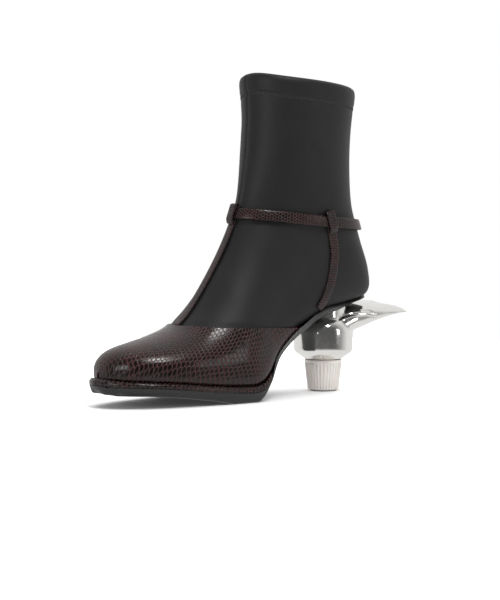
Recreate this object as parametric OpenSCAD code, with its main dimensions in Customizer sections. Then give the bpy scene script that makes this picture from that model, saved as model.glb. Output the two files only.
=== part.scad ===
// Heeled sock boot, left foot: a stretch sock, a low vamp with a T-strap, and a heel like a folded tube.
// Millimetres. Toe points to -Y, the outer side of the foot is +X, the floor is Z = 0.
// The heel cap stands on the Z axis while the pieces are drawn; each is then moved to centre the whole
// boot's box on the origin.

/* [Overall size] */
// Upper, tip of the toe to the back of the heel
upper_l = 235; // [190:1:285]
// Upper across the ball of the foot
ball_w = 78; // [62:1:94]
// Floor to the top of the shaft
boot_h = 234.5; // [190:0.5:285]
// Floor to the upper at the middle of the heel seat
seat_h = 62.2; // [50:0.2:78]

/* [Upper] */
// Stretch sock, thickness
sock_t = 1.2; // [0.8:0.1:2]
// Vamp leather, thickness
vamp_t = 1.3; // [0.8:0.1:2]
// Floor to the top edge of the vamp at the middle of the boot
vamp_h = 52.6; // [46:0.2:60]
// Sock tucked under the vamp
tuck = 11.5; // [6:0.5:14]
// Vamp lining, thickness
lining_t = 0.8; // [0.5:0.1:1.5]
// Toe puff, thickness
puff_t = 0.8; // [0.5:0.1:1.2]
// Heel counter, thickness
counter_t = 1.2; // [0.8:0.1:2]
// Hem at the top of the shaft, depth
hem_w = 12.5; // [8:0.5:20]
// Hem facing, thickness
facing_t = 0.9; // [0.5:0.1:1.5]
// Elastic inside the hem, thickness
elastic_t = 0.6; // [0.4:0.1:1]

/* [Straps] */
// Instep and side straps, width
strap_w = 7.5; // [5:0.5:10]
// Instep and side straps, thickness
strap_t = 1.2; // [0.8:0.1:1.6]
// Ankle strap, width
ankle_w = 8; // [6:0.5:10]
// Ankle strap, thickness
ankle_t = 1.4; // [1:0.1:1.8]
// Floor to the middle of the ankle strap, beside the ankle
ankle_h = 130; // [118:1:140]
// Ankle strap left beyond the buckle
free_l = 24; // [18:1:25]
// Buckle wire, radius
wire_r = 0.9; // [0.7:0.05:1.1]
// Buckle, bar to front
buckle_l = 11; // [9:0.5:13]
// Prong, radius
prong_r = 0.6; // [0.4:0.05:0.8]

/* [Sole] */
// Rand, height
rand_h = 5; // [3.5:0.1:6]
// Rand, proud of the upper
rand_out = 3.6; // [2:0.1:5]
// Outsole under the forefoot, thickness
outsole_t = 6; // [4.5:0.1:7]
// Outsole under the waist and the seat, thickness
waist_t = 1.8; // [1.2:0.1:3]
// Insole board, thickness
board_t = 2.4; // [1.5:0.1:3]
// Footbed, thickness
footbed_t = 3; // [2:0.1:4]
// Steel shank, width
shank_w = 13; // [9:0.5:15]
// Steel shank, thickness
shank_t = 1.1; // [0.8:0.1:1.2]

/* [Heel] */
// Heel tube, radius of its round part
tube_r = 22.7; // [18:0.1:26]
// Heel cap, radius at the top
cap_r = 14.4; // [11:0.1:18]
// Heel cap, radius at the floor
tip_r = 10.6; // [8:0.1:14]
// Heel cap with its top piece, height
cap_h = 24; // [16:0.5:28]
// Top piece, thickness
tip_t = 1.8; // [1:0.1:3]
// Ribs round the cap
ribs = 30; // [18:1:40]
// Ribs, depth
rib_d = 0.7; // [0.3:0.05:1]
// Heel cap's middle to the pressed end of the tube
tail_l = 67; // [55:1:75]
// Tube's pressed end, half width
crimp_w = 22.3; // [18:0.1:26]
// Steel dowel in the heel, radius
dowel_r = 4; // [3:0.1:5]

/* [Hidden] */

// Air left between neighbouring layers
gap = 0.2;
// Air left between pieces that move on each other
run = 0.35;

// The last, as sections that fan round the foot from the toe to the top of the shaft. Each runs from a
// point on the front ridge to a point on the sole or the back:
// [front y, front z, back y, back z, outer half width, inner half width,
//  share of the section behind its widest line, front squareness, back squareness]
LAST = [
    [-198.0,  25.0, -198.0,  19.5,  1.5,  1.5, .45, 2.00, 3.0],
    [-196.0,  32.0, -196.0,  19.2, 10.0, 10.0, .45, 2.00, 3.6],
    [-191.0,  37.0, -191.0,  18.8, 17.0, 16.0, .43, 2.00, 4.4],
    [-182.0,  40.5, -182.0,  18.4, 24.5, 22.0, .40, 2.00, 5.2],
    [-168.0,  43.8, -168.0,  17.6, 31.0, 28.5, .38, 2.00, 6.0],
    [-151.0,  48.0, -149.0,  15.8, 36.0, 33.0, .36, 2.00, 6.0],
    [-135.5,  54.0, -127.0,  13.2, 38.5, 37.0, .33, 2.00, 6.0],
    [-124.5,  64.0, -107.0,  11.3, 40.0, 37.5, .31, 1.90, 6.0],
    [-114.5,  77.0,  -89.0,  11.0, 40.5, 35.5, .30, 1.80, 5.6],
    [-105.0,  91.0,  -77.0,  16.5, 38.0, 32.5, .31, 1.80, 5.0],
    [ -97.0, 104.0,  -62.8,  32.6, 33.5, 30.0, .36, 1.80, 4.6],
    [ -90.0, 117.0,  -42.5,  47.2, 31.0, 29.5, .41, 1.85, 4.4],
    [ -84.5, 129.0,  -17.0,  58.3, 30.5, 30.0, .45, 1.90, 4.0],
    [ -80.5, 140.0,   11.0,  66.6, 30.5, 30.5, .46, 1.95, 3.4],
    [ -78.0, 150.0,   34.5,  73.5, 30.5, 30.5, .47, 2.00, 2.6],
    [ -76.5, 159.0,   37.0,  88.0, 31.0, 31.0, .48, 2.00, 2.3],
    [ -75.0, 169.0,   29.5, 110.0, 31.5, 31.5, .50, 2.00, 2.2],
    [ -73.6, 180.0,   20.5, 137.0, 32.0, 32.0, .50, 2.00, 2.1],
    [ -72.5, 192.0,   18.5, 165.0, 32.0, 32.0, .50, 2.00, 2.0],
    [ -71.8, 208.0,   19.5, 195.0, 32.0, 32.0, .50, 2.00, 2.0],
    [ -73.5, 234.5,   23.5, 227.5, 34.5, 34.5, .50, 2.00, 2.0]];
LAST_L = 235;
LAST_W = 78;
LAST_H = 234.5;
LAST_SEAT = 62.2;
top_u = len(LAST) - 1;
// The shaft stretches above this height only
ankle_z = 120;

// How far the sole lies below the last, by section: [section, outsole's top, outsole's underside]
DROP = [[0, 3.7, 9.7], [2, 3.7, 9.7], [4, 3.7, 9.4], [5, 3.7, 9.6], [6, 3.8, 10.2], [7, 3.8, 12.4],
    [8, 3.8, 12.2], [8.4, 3.6, 9.2], [8.8, 2.8, 5.8], [9.3, 2.1, 4.1], [9.8, 1.8, 3.6], [11.3, 1.8, 3.6],
    [11.8, 0.6, 2.4], [14.2, 0.6, 2.4]];
// Half the arc of the sole's edge round the last, by section: the seat narrows to the back of the heel
EDGE = [[0, 45], [7, 45], [8, 44], [9, 46], [12.2, 46], [12.5, 42], [12.9, 36], [13.4, 27], [13.75, 20],
    [13.95, 12], [14.1, 5]];
// How far the sole spreads past the last's edge, by section
SPREAD = [[0, 1], [8.3, 1], [8.8, .75], [9.2, .35], [9.6, 0], [14.2, 0]];

lift = seat_h - LAST_SEAT;
len_k = upper_l / LAST_L;
wid_k = ball_w / LAST_W;
shaft_k = (boot_h - lift - ankle_z) / (LAST_H - ankle_z);

function smooth(t) = let (k = min(max(t, 0), 1)) k * k * (3 - 2 * k);
function unit(v) = v / norm(v);
function mix(a, b, t) = a + (b - a) * t;

// The last fitted to the overall size
function tall(z) = z < ankle_z ? z : ankle_z + (z - ankle_z) * shaft_k;
function fitted(k) = let (s = LAST[k], up = lift * smooth((k - 5) / 8))
    [s[0] * len_k, tall(s[1]) + up, s[2] * len_k, tall(s[3]) + up, s[4] * wid_k, s[5] * wid_k,
        s[6], s[7], s[8]];
FIT = [for (k = [0:top_u]) fitted(k)];

// Section at u, by a smooth curve through the four nearest
function section(u) =
    let (i = min(max(floor(u), 0), top_u - 1), t = min(max(u, 0), top_u) - i)
    let (a = FIT[max(i - 1, 0)], b = FIT[i], c = FIT[i + 1], d = FIT[min(i + 2, top_u)])
    (2 * b + (c - a) * t + (2 * a - 5 * b + 4 * c - d) * t * t + (3 * b - a - 3 * c + d) * t * t * t) / 2;

// The rim stands a little higher over the instep, and its last few millimetres roll inwards
function rim(u, phi) = smooth((u - 17) / 3) * (1 + 2.2 * exp(-pow((phi - 12) / 32, 2)));
function roll(u) = let (t = min(max((u - top_u + .3) / .3, 0), 1)) 3.2 * (1 - sqrt(1 - .98 * t * t));

// A point of the last: u runs from the toe to the top, phi from the front ridge (0) over the outer
// side (90) to the sole or the back (180), and depth goes inwards from the surface
function skin(u, phi, depth = 0) =
    let (s = section(u), tip = max(0, 1 - u / 2.5), d = depth * (1 - tip))
    let (l = norm([s[0] - s[2], s[1] - s[3]]), ey = (s[0] - s[2]) / l, ez = (s[1] - s[3]) / l)
    let (co = cos(phi), si = sin(phi), n = co >= 0 ? s[7] : s[8])
    let (r = pow(pow(abs(si), n) + pow(abs(co), n), -1 / n))
    let (x = ((si >= 0 ? s[4] : s[5]) - d) * r * si)
    let (v = ((co >= 0 ? 1 - s[6] : s[6]) * l - d) * r * co + s[6] * l)
    [x, s[2] + v * ey + depth * tip, s[3] + v * ez + rim(u, phi > 180 ? phi - 360 : phi)];

// Outward direction of the last's surface
function out(u, phi) =
    unit(cross(skin(u + .05, phi) - skin(u - .05, phi), skin(u, phi - 1.5) - skin(u, phi + 1.5)));

// Upwards in a section, from the sole to the front ridge
function rise(u) = let (s = section(u)) unit([0, s[0] - s[2], s[1] - s[3]]);

// The u at which the surface passes a plane that falls by slope towards the heel
function crossing(phi, level, slope = 0, lo = 0, hi = top_u, n = 15) =
    n == 0 ? (lo + hi) / 2 :
    let (m = (lo + hi) / 2, p = skin(m, phi))
    p[2] + slope * p[1] < level ? crossing(phi, level, slope, m, hi, n - 1)
        : crossing(phi, level, slope, lo, m, n - 1);

// Solid between two grids of points, the first on the outside; flip turns the diagonals, so that a
// mirrored piece gets mirrored facets
module shell(outer, inner, apex = false, ring = false, flip = false) {
    rows = len(outer) - 1;
    n = len(outer[0]);
    cols = ring ? n : n - 1;
    half = (rows + 1) * n;
    function at(r, c) = (apex && r == 0) ? 0 : r * n + c % n;
    function quad(a, b, c, d) = flip ? [[a, b, d], [b, c, d]] : [[a, b, c], [a, c, d]];
    faces = [
        for (r = [0:rows - 1], c = [0:cols - 1]) each concat(
            quad(at(r, c), at(r, c + 1), at(r + 1, c + 1), at(r + 1, c)),
            quad(half + at(r, c), half + at(r + 1, c), half + at(r + 1, c + 1), half + at(r, c + 1))),
        for (c = [0:cols - 1]) each concat(
            quad(at(0, c + 1), at(0, c), half + at(0, c), half + at(0, c + 1)),
            quad(at(rows, c), at(rows, c + 1), half + at(rows, c + 1), half + at(rows, c))),
        for (r = [0:rows - 1]) each ring ? [] : concat(
            quad(at(r, 0), at(r + 1, 0), half + at(r + 1, 0), half + at(r, 0)),
            quad(at(r + 1, cols), at(r, cols), half + at(r, cols), half + at(r + 1, cols)))];
    polyhedron([for (g = [outer, inner], row = g) each row],
        [for (f = faces) if (f[0] != f[1] && f[1] != f[2] && f[2] != f[0]) f], convexity = 8);
}

// Solid through a row of rings, each listed anticlockwise about the way along
module loft(rings) {
    n = len(rings[0]);
    last = len(rings) - 1;
    polyhedron([for (r = rings) each r], concat(
        [for (i = [0:last - 1], k = [0:n - 1]) each
            let (a = i * n + k, b = i * n + (k + 1) % n) [[a, a + n, b + n], [a, b + n, b]]],
        [for (k = [1:n - 2]) [0, k, k + 1]],
        [for (k = [1:n - 2]) [last * n, last * n + k + 1, last * n + k]]), convexity = 8);
}

// Flat band along a path of middle points, with the way across the band at each
module band(path, across, w, t) {
    last = len(path) - 1;
    bevel = t / 4;
    loft([for (i = [0:last])
        let (along = unit(path[min(i + 1, last)] - path[max(i - 1, 0)]))
        let (a = unit(across[i] - along * (across[i] * along)), b = cross(along, a))
        [for (q = [[w / 2, bevel - t / 2], [w / 2, t / 2 - bevel], [w / 2 - bevel, t / 2],
            [bevel - w / 2, t / 2], [-w / 2, t / 2 - bevel], [-w / 2, bevel - t / 2],
            [bevel - w / 2, -t / 2], [w / 2 - bevel, -t / 2]]) path[i] + a * q[0] + b * q[1]]]);
}

module rod(from, to, r, fn = 20) {
    v = to - from;
    translate(from) rotate([0, acos(v[2] / norm(v)), atan2(v[1], v[0])])
        cylinder(r = r, h = norm(v), $fn = fn);
}

// Every piece is drawn with the heel cap on the Z axis, then moved by this
sole_front = skin(0, 180)[1] - vamp_t - gap - rand_out - .4;
box_mid = [(skin(7.6, 135)[0] + skin(7.2, 225)[0]) / 2, (sole_front + tail_l) / 2];
module placed() translate([-box_mid[0], -box_mid[1], 0]) children();

// Upper ------------------------------------------------------------------------------------------

vamp_slope = .0256;
vamp_level = vamp_h - 2.3;
margin = 150;
sock_z = vamp_level - tuck;
PHIS = [for (a = [margin:-10:-margin]) a];

module vamp() {
    steps = 26;
    function grid(d) = [for (i = [0:steps]) [for (p = PHIS)
        skin(mix(0, crossing(p, vamp_level, vamp_slope), i / steps), p, d)]];
    tip = (skin(0, 0) + skin(0, 180)) / 2;
    placed() color([.22, .12, .13]) shell(concat([[for (p = PHIS) tip - [0, vamp_t, 0]]], grid(-vamp_t)),
        concat([[for (p = PHIS) tip]], grid(0)), apex = true);
}

// The puff stiffens the toe between the vamp and its lining
puff_u = 3.7;
module toe_puff() {
    steps = 8;
    function grid(d) = [for (i = [0:steps]) [for (p = PHIS) skin(mix(.6, puff_u, i / steps), p, d)]];
    placed() color([.75, .7, .6]) shell(grid(gap), grid(gap + puff_t));
}

function lining_d(u) = gap + .2 + (puff_t + gap) * smooth((4.7 - u) / .9);
module vamp_lining() {
    steps = 18;
    function grid(t) = [for (i = [0:steps]) [for (p = PHIS)
        let (u = mix(.9, crossing(p, sock_z - .4, vamp_slope), i / steps)) skin(u, p, lining_d(u) + t)]];
    placed() color([.55, .45, .38]) shell(grid(0), grid(lining_t));
}

// Half of the sock: sewn to its twin along the front and the back, turned under round the seat. The vamp
// presses it in a little along its edge
function turn_under(u) = mix(152, 180, smooth((u - 13) / 1.1));
function pressed(p) = .45 * smooth((vamp_level + 5 - p[2] - vamp_slope * p[1]) / 4);
module sock_half(side) {
    ways = concat([for (i = [0:31]) i / 32], [1, 1.018, 1.03, 1.036]);
    cols = side > 0 ? [16:-1:0] : [0:16];
    function grid(d) = [for (k = ways) [for (j = cols)
        let (u0 = crossing(side * 152 * j / 16, sock_z, vamp_slope), way = (k - 1) / .036)
        let (u = k <= 1 ? mix(u0, top_u - .32, k) : mix(top_u - .32, top_u, way))
        let (phi = side * turn_under(u) * j / 16)
        skin(u, phi, d + roll(u) + pressed(skin(u, phi)))]];
    shell(grid(0), grid(sock_t), flip = side < 0);
}
module sock_lateral() placed() color([.16, .16, .16]) sock_half(1);
module sock_medial() placed() color([.15, .15, .15]) sock_half(-1);

module heel_counter() {
    d = sock_t + gap + .35;
    function grid(d) = [for (u = [13.2:.3:15.9]) [for (p = [246:-12:114]) skin(u, p, d)]];
    placed() color([.8, .76, .66]) shell(grid(d), grid(d + counter_t));
}

module counter_lining() {
    d = sock_t + counter_t + 2 * gap + .35;
    function grid(d) = [for (u = [14.35:.3:16.15]) [for (p = [246:-12:114]) skin(u, p, d)]];
    placed() color([.5, .42, .36]) shell(grid(d), grid(d + .8));
}

// Ring inside the top of the shaft
rim_l = norm(skin(top_u, 90) - skin(top_u - 1, 90));
module rim_band(depth, t, drop, w) {
    function grid(d) = [for (k = [1, .66, .4, .2, .08, 0]) [for (p = [350:-10:0])
        let (u = top_u - (drop + w * k) / rim_l) skin(u, p, d + roll(u))]];
    shell(grid(depth), grid(depth + t), ring = true);
}
module topline_elastic() placed() color([.9, .88, .84]) rim_band(sock_t + gap + .25, elastic_t, 1.5, hem_w - 3.5);
module hem_facing() placed() color([.12, .12, .12])
    rim_band(sock_t + elastic_t + 2 * gap + .25, facing_t, .2, hem_w);

// Straps -----------------------------------------------------------------------------------------

// A side or instep strap lies on the sock, passes behind the ankle strap and folds down over it. Its
// course is a row of [u, phi]; q counts along the row and n stands off the sock.
under_n = .3 + strap_t / 2;
ankle_n = under_n + strap_t / 2 + .6 + ankle_t / 2;
over_n = ankle_n + ankle_t / 2 + .35 + strap_t / 2;
fold_n = (under_n + over_n) / 2;

function course(row, q) =
    let (m = len(row) - 1, i = min(max(floor(q), 0), m - 1), t = q - i)
    let (a = row[max(i - 1, 0)], b = row[i], c = row[i + 1], d = row[min(i + 2, m)])
    (2 * b + (c - a) * t + (2 * a - 5 * b + 4 * c - d) * t * t + (3 * b - a - 3 * c + d) * t * t * t) / 2;
function on_course(row, q, n) = let (c = course(row, q)) skin(c[0], c[1]) + out(c[0], c[1]) * n;
function across_course(row, q) = let (c = course(row, q))
    cross(on_course(row, q + .1, 0) - on_course(row, q - .1, 0), out(c[0], c[1]));

module tee_strap(row, loop) {
    // loop: where the ankle strap's lower and upper edges cross the row, the fold's top, the tab's end
    steps = 22;
    turn = (over_n - under_n) / 2;
    way = concat(
        [for (i = [0:steps]) [mix(0, loop[2], i / steps), under_n]],
        [for (a = [22.5:22.5:157.5]) [loop[2] + loop[4] * sin(a), fold_n - turn * cos(a)]],
        [for (i = [0:4]) [mix(loop[2], loop[0], i / 4), over_n]],
        [[mix(loop[0], loop[3], .5), mix(over_n, under_n + strap_t, .55)],
            [loop[3], under_n + strap_t + .12]]);
    band([for (p = way) on_course(row, p[0], p[1])], [for (p = way) across_course(row, p[0])],
        strap_w, strap_t);
}

// The course crosses the ankle strap's middle at this u
ankle_slope = .08;
ankle_level = ankle_h + lift - 30 * ankle_slope;
function ankle_u(phi, up = 0) = crossing(phi, ankle_level + up, ankle_slope);

front_u0 = crossing(0, vamp_level + .6, vamp_slope);
front_row = [for (k = [0:12]) [mix(front_u0, ankle_u(0, ankle_w / 2 + 3), k / 12), 0]];
front_k = 12 / (ankle_u(0, ankle_w / 2 + 3) - front_u0);
module instep_strap() placed() color([.25, .14, .15])
    tee_strap(front_row, [
        (ankle_u(0, -ankle_w / 2 - 1) - front_u0) * front_k, 0, 11.7,
        (ankle_u(0, -ankle_w / 2 - 4) - front_u0) * front_k, .35]);

SIDE = [[11.88, 130.2], [12.17, 125.3], [12.48, 119.5], [12.8, 113.4], [13.23, 105.4], [13.72, 97.5],
    [14.34, 92], [15, 90.2]];
side_top = ankle_u(90, ankle_w / 2 + 3);
side_low = ankle_u(90, -ankle_w / 2 - 4);
function side_row(side) = [for (c = concat(SIDE, [[mix(15, side_top, .5), 90], [side_top, 90]]))
    [c[0], side * c[1]]];
function side_q(u) = u > 15 ? 7 + 2 * (u - 15) / (side_top - 15) : 6 + (u - 14.34) / .66;
module side_strap(side) {
    tee_strap(side_row(side), [side_q(ankle_u(90, -ankle_w / 2 - 1)), 0, 8.8, side_q(side_low), .3]);
}
module lateral_strap() placed() color([.25, .14, .15]) side_strap(1);
module medial_strap() placed() color([.25, .14, .15]) side_strap(-1);

// The ankle strap is measured from the buckle's bar: s runs from it round the heel, the outer side and
// the instep, back to the bar and on to the free end
bar_phi = -52;
STEP = 5;
LAPS = [for (i = [0:72]) let (phi = bar_phi - i * STEP, u = ankle_u(phi)) [phi, u, skin(u, phi)]];
MILES = [for (i = 0, s = 0; i <= 72; s = s + (i < 72 ? norm(LAPS[i + 1][2] - LAPS[i][2]) : 0), i = i + 1)
    [s, i]];
round_l = MILES[72][0];
function lap(s) = s < 0 ? s + round_l : s > round_l ? s - round_l : s;
function ankle_at(s) = let (q = lookup(lap(s), MILES), i = min(floor(q), 71))
    [LAPS[i][0] - (q - i) * STEP, mix(LAPS[i][1], LAPS[i + 1][1], q - i)];
function ankle_out(s) = let (c = ankle_at(s)) out(c[1], c[0]);
function ankle_p(s, n) = let (c = ankle_at(s)) skin(c[1], c[0]) + ankle_out(s) * n;
function ankle_across(s) = unit(cross(ankle_p(s + 1, 0) - ankle_p(s - 1, 0), ankle_out(s)));

layer = ankle_t / 2;
fold_r = wire_r + .15 + layer;
bar_n = .3 + layer + fold_r;
frame_n = ankle_n + layer + .25 + wire_r;
free_n = bar_n + fold_r + layer + .15 + layer;
main_n = ankle_n - .2;
tail_n = main_n + ankle_t + .3;
keeper_s = 14;
keeper_w = 5;
keeper_t = .8;
keeper_run = 2;
strap_way = concat(
    [for (s = [5.5, 2.8]) [s, bar_n + fold_r]],
    [for (a = [90:22.5:270]) [fold_r * cos(a), bar_n + fold_r * sin(a)]],
    [[2.5, bar_n - fold_r], [5, bar_n - fold_r], [7.5, mix(bar_n - fold_r, main_n, .5)], [10, main_n],
        [16, main_n], [22, main_n]],
    [for (i = [0:56]) [mix(26, round_l - buckle_l - 10, i / 56), ankle_n]],
    [for (p = [[-buckle_l - 5, 0], [-buckle_l, 0], [-buckle_l + 2, .1], [-buckle_l + 4, .35],
        [-buckle_l + 6.5, .72], [-buckle_l + 9, .96], [0, 1], [3.2, 1], [6.2, 1]])
        [round_l + p[0], mix(ankle_n, free_n, p[1])]],
    [for (p = [[8.2, .62], [10, .18], [11.5, 0]]) [round_l + p[0], mix(tail_n, free_n, p[1])]],
    [for (s = [15, 19, free_l - 1]) [round_l + s, tail_n]]);
prong_slot = 2 * (prong_r + run) + .5;
slot_a = -buckle_l + 2.4;
slot_b = -.8;

// A block at the strap, from s0 to s1 along it and n0 to n1 off the sock
module at_strap(s0, s1, n0, n1, w) {
    s = (s0 + s1) / 2;
    a = ankle_across(s);
    o = ankle_out(s);
    f = cross(a, o);
    hull() for (x = [s0 - s, s1 - s], y = [n0, n1], z = [-w / 2, w / 2])
        translate(ankle_p(s, 0) + f * x * sign(f * (ankle_p(s + 1, 0) - ankle_p(s, 0))) + o * y + a * z)
            cube(.01, center = true);
}

module ankle_strap() placed() color([.25, .14, .15]) difference() {
    band([for (p = strap_way) ankle_p(p[0] > round_l ? p[0] - round_l : p[0], p[1])],
        [for (p = strap_way) ankle_across(p[0] > round_l ? p[0] - round_l : p[0])], ankle_w, ankle_t);
    at_strap(-fold_r - layer - .5, wire_r + 1.6, -.5, free_n - layer - .1, prong_slot);
    at_strap(slot_a, slot_b, 1, free_n + 2, prong_slot);
    for (s = [slot_a - 7, slot_a - 14])
        rod(ankle_p(s, 0), ankle_p(s, ankle_n + 2), 1, 16);
}

rail = ankle_w / 2 + run + wire_r;
// The wire is a little thicker where it turns
corner_r = wire_r + .12;
function bar_end(side) = ankle_p(0, bar_n) + ankle_across(0) * side * rail;
function front_end(side) = ankle_p(-buckle_l, frame_n) + ankle_across(-buckle_l) * side * rail;
module buckle_frame() placed() color([.75, .75, .77]) {
    rod(bar_end(-1), bar_end(1), wire_r, 32);
    rod(front_end(-1), front_end(1), wire_r, 32);
    for (side = [-1, 1]) {
        rod(bar_end(side), front_end(side), wire_r, 32);
        translate(bar_end(side)) sphere(corner_r, $fn = 32);
        translate(front_end(side)) sphere(corner_r, $fn = 32);
    }
}

module buckle_prong() placed() color([.75, .75, .77]) {
    bar = ankle_p(0, bar_n);
    rest = ankle_p(-buckle_l, frame_n + wire_r + prong_r + .3);
    a = ankle_across(0);
    way = unit(rest - bar);
    difference() {
        union() {
            rod(bar - a * 1.1, bar + a * 1.1, wire_r + .95, 32);
            rod(bar + way * 1.4, rest + way * 1.3, prong_r, 32);
            translate(rest + way * 1.3) sphere(prong_r + .1, $fn = 32);
        }
        rod(bar - a * 3, bar + a * 3, wire_r + .3, 32);
    }
}

module strap_keeper() {
    lo = main_n - layer - run;
    hi = tail_n + layer + run;
    w = ankle_w / 2 + run;
    s = keeper_s + keeper_w / 2;
    a = ankle_across(s);
    o = ankle_out(s);
    f = cross(a, o);
    base = ankle_p(s, 0);
    function ring(d, e) = [for (q = [[-w - d, lo - d], [w + d, lo - d], [w + d, hi + d], [-w - d, hi + d]])
        base + a * q[0] + o * q[1] + f * e];
    placed() color([.25, .14, .15]) difference() {
        loft([ring(keeper_t, -keeper_w / 2), ring(keeper_t, keeper_w / 2)]);
        loft([ring(0, -keeper_w), ring(0, keeper_w)]);
    }
}

// Bottom -----------------------------------------------------------------------------------------

function drop(u, k) = lookup(u, [for (d = DROP) [d[0], d[k]]]);
function arc(u) = lookup(u, EDGE);
function spread(u) = lookup(u, SPREAD);
ground_extra = outsole_t - 6;
waist_extra = waist_t - 1.8;
seat_u = 14.08;

// The sole's edge on the outside of the vamp, and the level direction away from the foot there
function edge(u, side) = skin(u, side * (180 - arc(u)), -vamp_t - gap - .15);
function away(u, side) = let (t = edge(u + .12, side) - edge(max(u - .12, 0), side))
    unit([t[1] * side, -t[0] * side, 0]);

// A point of the sole: w runs across it from -1 to 1, d is the distance below the last
function under(u, w, d, reach) =
    let (k = spread(u), side = w < 0 ? -1 : 1, e = edge(u, side) + away(u, side) * reach)
    let (m = skin(u, 180) - rise(u) * d)
    let (flat = [abs(w) * e[0], mix(m[1], e[1], max(w * w, smooth(1 - u / .8))), m[2]])
    mix(skin(u, 180 - w * arc(u), -d), flat, k);
SOLE_U = [0, .15, .4, .8, 1.3, 2, 2.7, 3.4, 4.2, 5, 5.7, 6.4, 7, 7.5, 8, 8.25, 8.5, 8.8, 9.1, 9.4, 9.8,
    10.3, 10.8, 11.3, 11.8, 12.2, 12.6, 13, 13.4, 13.7, 13.9, 14.02, seat_u];
SOLE_W = [-1, -.93, -.7, -.35, 0, .35, .7, .93, 1];

module outsole() {
    // The tread's edge is rounded, all the way round the toe
    function low(u, w) =
        let (s = abs(w) > .95 ? [1.6, 2.8] : abs(w) > .9 ? [.5, .7] : [0, 0], nose = smooth(1 - u / .9))
        let (d = drop(u, 2) + (u < 8.6 ? ground_extra : waist_extra))
        let (p = under(u, w, d, rand_out - mix(s[0], 1.6, nose)))
        [p[0], p[1], max(p[2], 0) + mix(s[1], 2.8, nose) * spread(u)];
    placed() color([.1, .1, .1]) difference() {
        shell([for (u = SOLE_U) [for (w = SOLE_W) low(u, w)]],
            [for (u = SOLE_U) [for (w = SOLE_W) under(u, w, drop(u, 1), rand_out + .2)]]);
        fastener_holes();
    }
}

// The rand stands round the forefoot between the upper and the outsole
RAND_U = [for (u = SOLE_U) if (u < 9.2) u];
module rand() {
    function ring(u, side) =
        let (a = away(u, side), e = edge(u, side), k = spread(u), lo = drop(u, 1) - .22)
        let (hug = skin(u, side * (180 - arc(u) + 8), -vamp_t - gap - .6))
        let (low = under(u, side, lo, rand_out + .15), inner = under(u, side * .9, lo, rand_out + .15))
        let (top = e + a * (rand_out - .6) * k + [0, 0, .2])
        let (mid = mix(low, top, .5) + a * .45 * k)
        [e, top, mid, low, mix([hug[0], hug[1], low[2]], inner, smooth((u - 1) / 2)), hug];
    inner_side = [for (i = [len(RAND_U) - 1:-1:0]) ring(RAND_U[i], -1)];
    outer_side = [for (u = RAND_U) ring(u, 1)];
    placed() color([.2, .11, .12]) loft(concat(inner_side, outer_side));
}

module midsole() {
    us = [.8, 1.2, 1.7, 2.5, 3.3, 4.2, 5, 6, 7, 7.6, 8.2, 8.6];
    ws = [-1, -.5, 0, .5, 1];
    function top(u, w) = skin(u, 180 - w * (arc(u) - 11), -vamp_t - gap - .25);
    function low(u, w) = let (p = top(u, w)) [p[0], p[1], (skin(u, 180) - rise(u) * (drop(u, 1) - .2))[2]];
    placed() color([.35, .3, .26])
        shell([for (u = us) [for (w = ws) low(u, w)]], [for (u = us) [for (w = ws) top(u, w)]]);
}

// Cork between the turned-under edges of the upper
module bottom_filler() {
    us = [1.2, 2, 3, 4, 5, 6, 7, 8, 8.6, 8.9, 9.3, 9.8, 10.4, 11];
    function grid(d) = [for (u = us) [for (p = [205, 192, 180, 168, 155]) skin(u, p, d)]];
    placed() color([.6, .45, .3]) shell(grid(-vamp_t + .2), grid(-.35));
}

// How deep the board lies under the last's surface: over the lining at the toe and the counter at the heel
board_d = 2.2;
function board_dd(u) = max(board_d, lining_d(u) + lining_t + gap)
    + (counter_t + .5) * smooth((u - 12.6) / .5);
BOARD_U = [1.1, 1.6, 2.3, 3, 4, 5, 6, 7, 7.6, 8.2, 8.7, 9.2, 9.7, 10.3, 11, 11.7, 12.3, 12.8, 13.2, 13.5,
    13.75];
bed_h = board_t + gap + .7;
function board_at(u, w, h, less = 6) = skin(u, 180 - w * (arc(u) - less), board_dd(u)) + rise(u) * h;
module board_layer(us, less, lo, hi) {
    function grid(h) = [for (u = us) [for (w = [-1, -.6, 0, .6, 1]) board_at(u, w, h, less)]];
    shell(grid(lo), grid(hi));
}
// Height of the board's top where its middle line passes y
function board_z(y, lo = 9, hi = 13.7, n = 14) = n == 0 ? board_at(lo, 0, board_t)[2] :
    let (m = (lo + hi) / 2)
    board_at(m, 0, board_t)[1] < y ? board_z(y, m, hi, n - 1) : board_z(y, lo, m, n - 1);

// What fastens the heel from inside the shoe: [x, y, radius]
NAILS = [[12, -9, .9], [-12, -9, .9], [11, 9, .9], [-11, 9, .9]];
SCREW = [0, 2, 2.2];
head_r = 3.4;
function nail_z(p) = board_z(p[1] - p[2]) - .2;
screw_z = board_z(SCREW[1] - head_r) - .2;
module fastener_holes(more = .05) for (p = concat(NAILS, [SCREW]))
    translate([p[0], p[1], seat_h - 18.5]) cylinder(r = p[2] + more, h = 50, $fn = 24);

// Rivets stand square to the sole
RIVETS = [9.5, 11.5];
rivet_r = 1.6;
function rivet_at(u, h) = skin(u, 180) - out(u, 180) * h;
function rivet_h(u) = (board_dd(u) + board_t) * -(rise(u) * out(u, 180)) + .25;
module rivet_holes() for (u = RIVETS) rod(rivet_at(u, -3), rivet_at(u, 9), rivet_r + .05);
module shank_rivets() placed() color([.6, .6, .62]) for (u = RIVETS) {
    rod(rivet_at(u, .1), rivet_at(u, rivet_h(u) + .1), rivet_r, 24);
    rod(rivet_at(u, rivet_h(u)), rivet_at(u, rivet_h(u) + .3), rivet_r + 1.1, 24);
}

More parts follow.
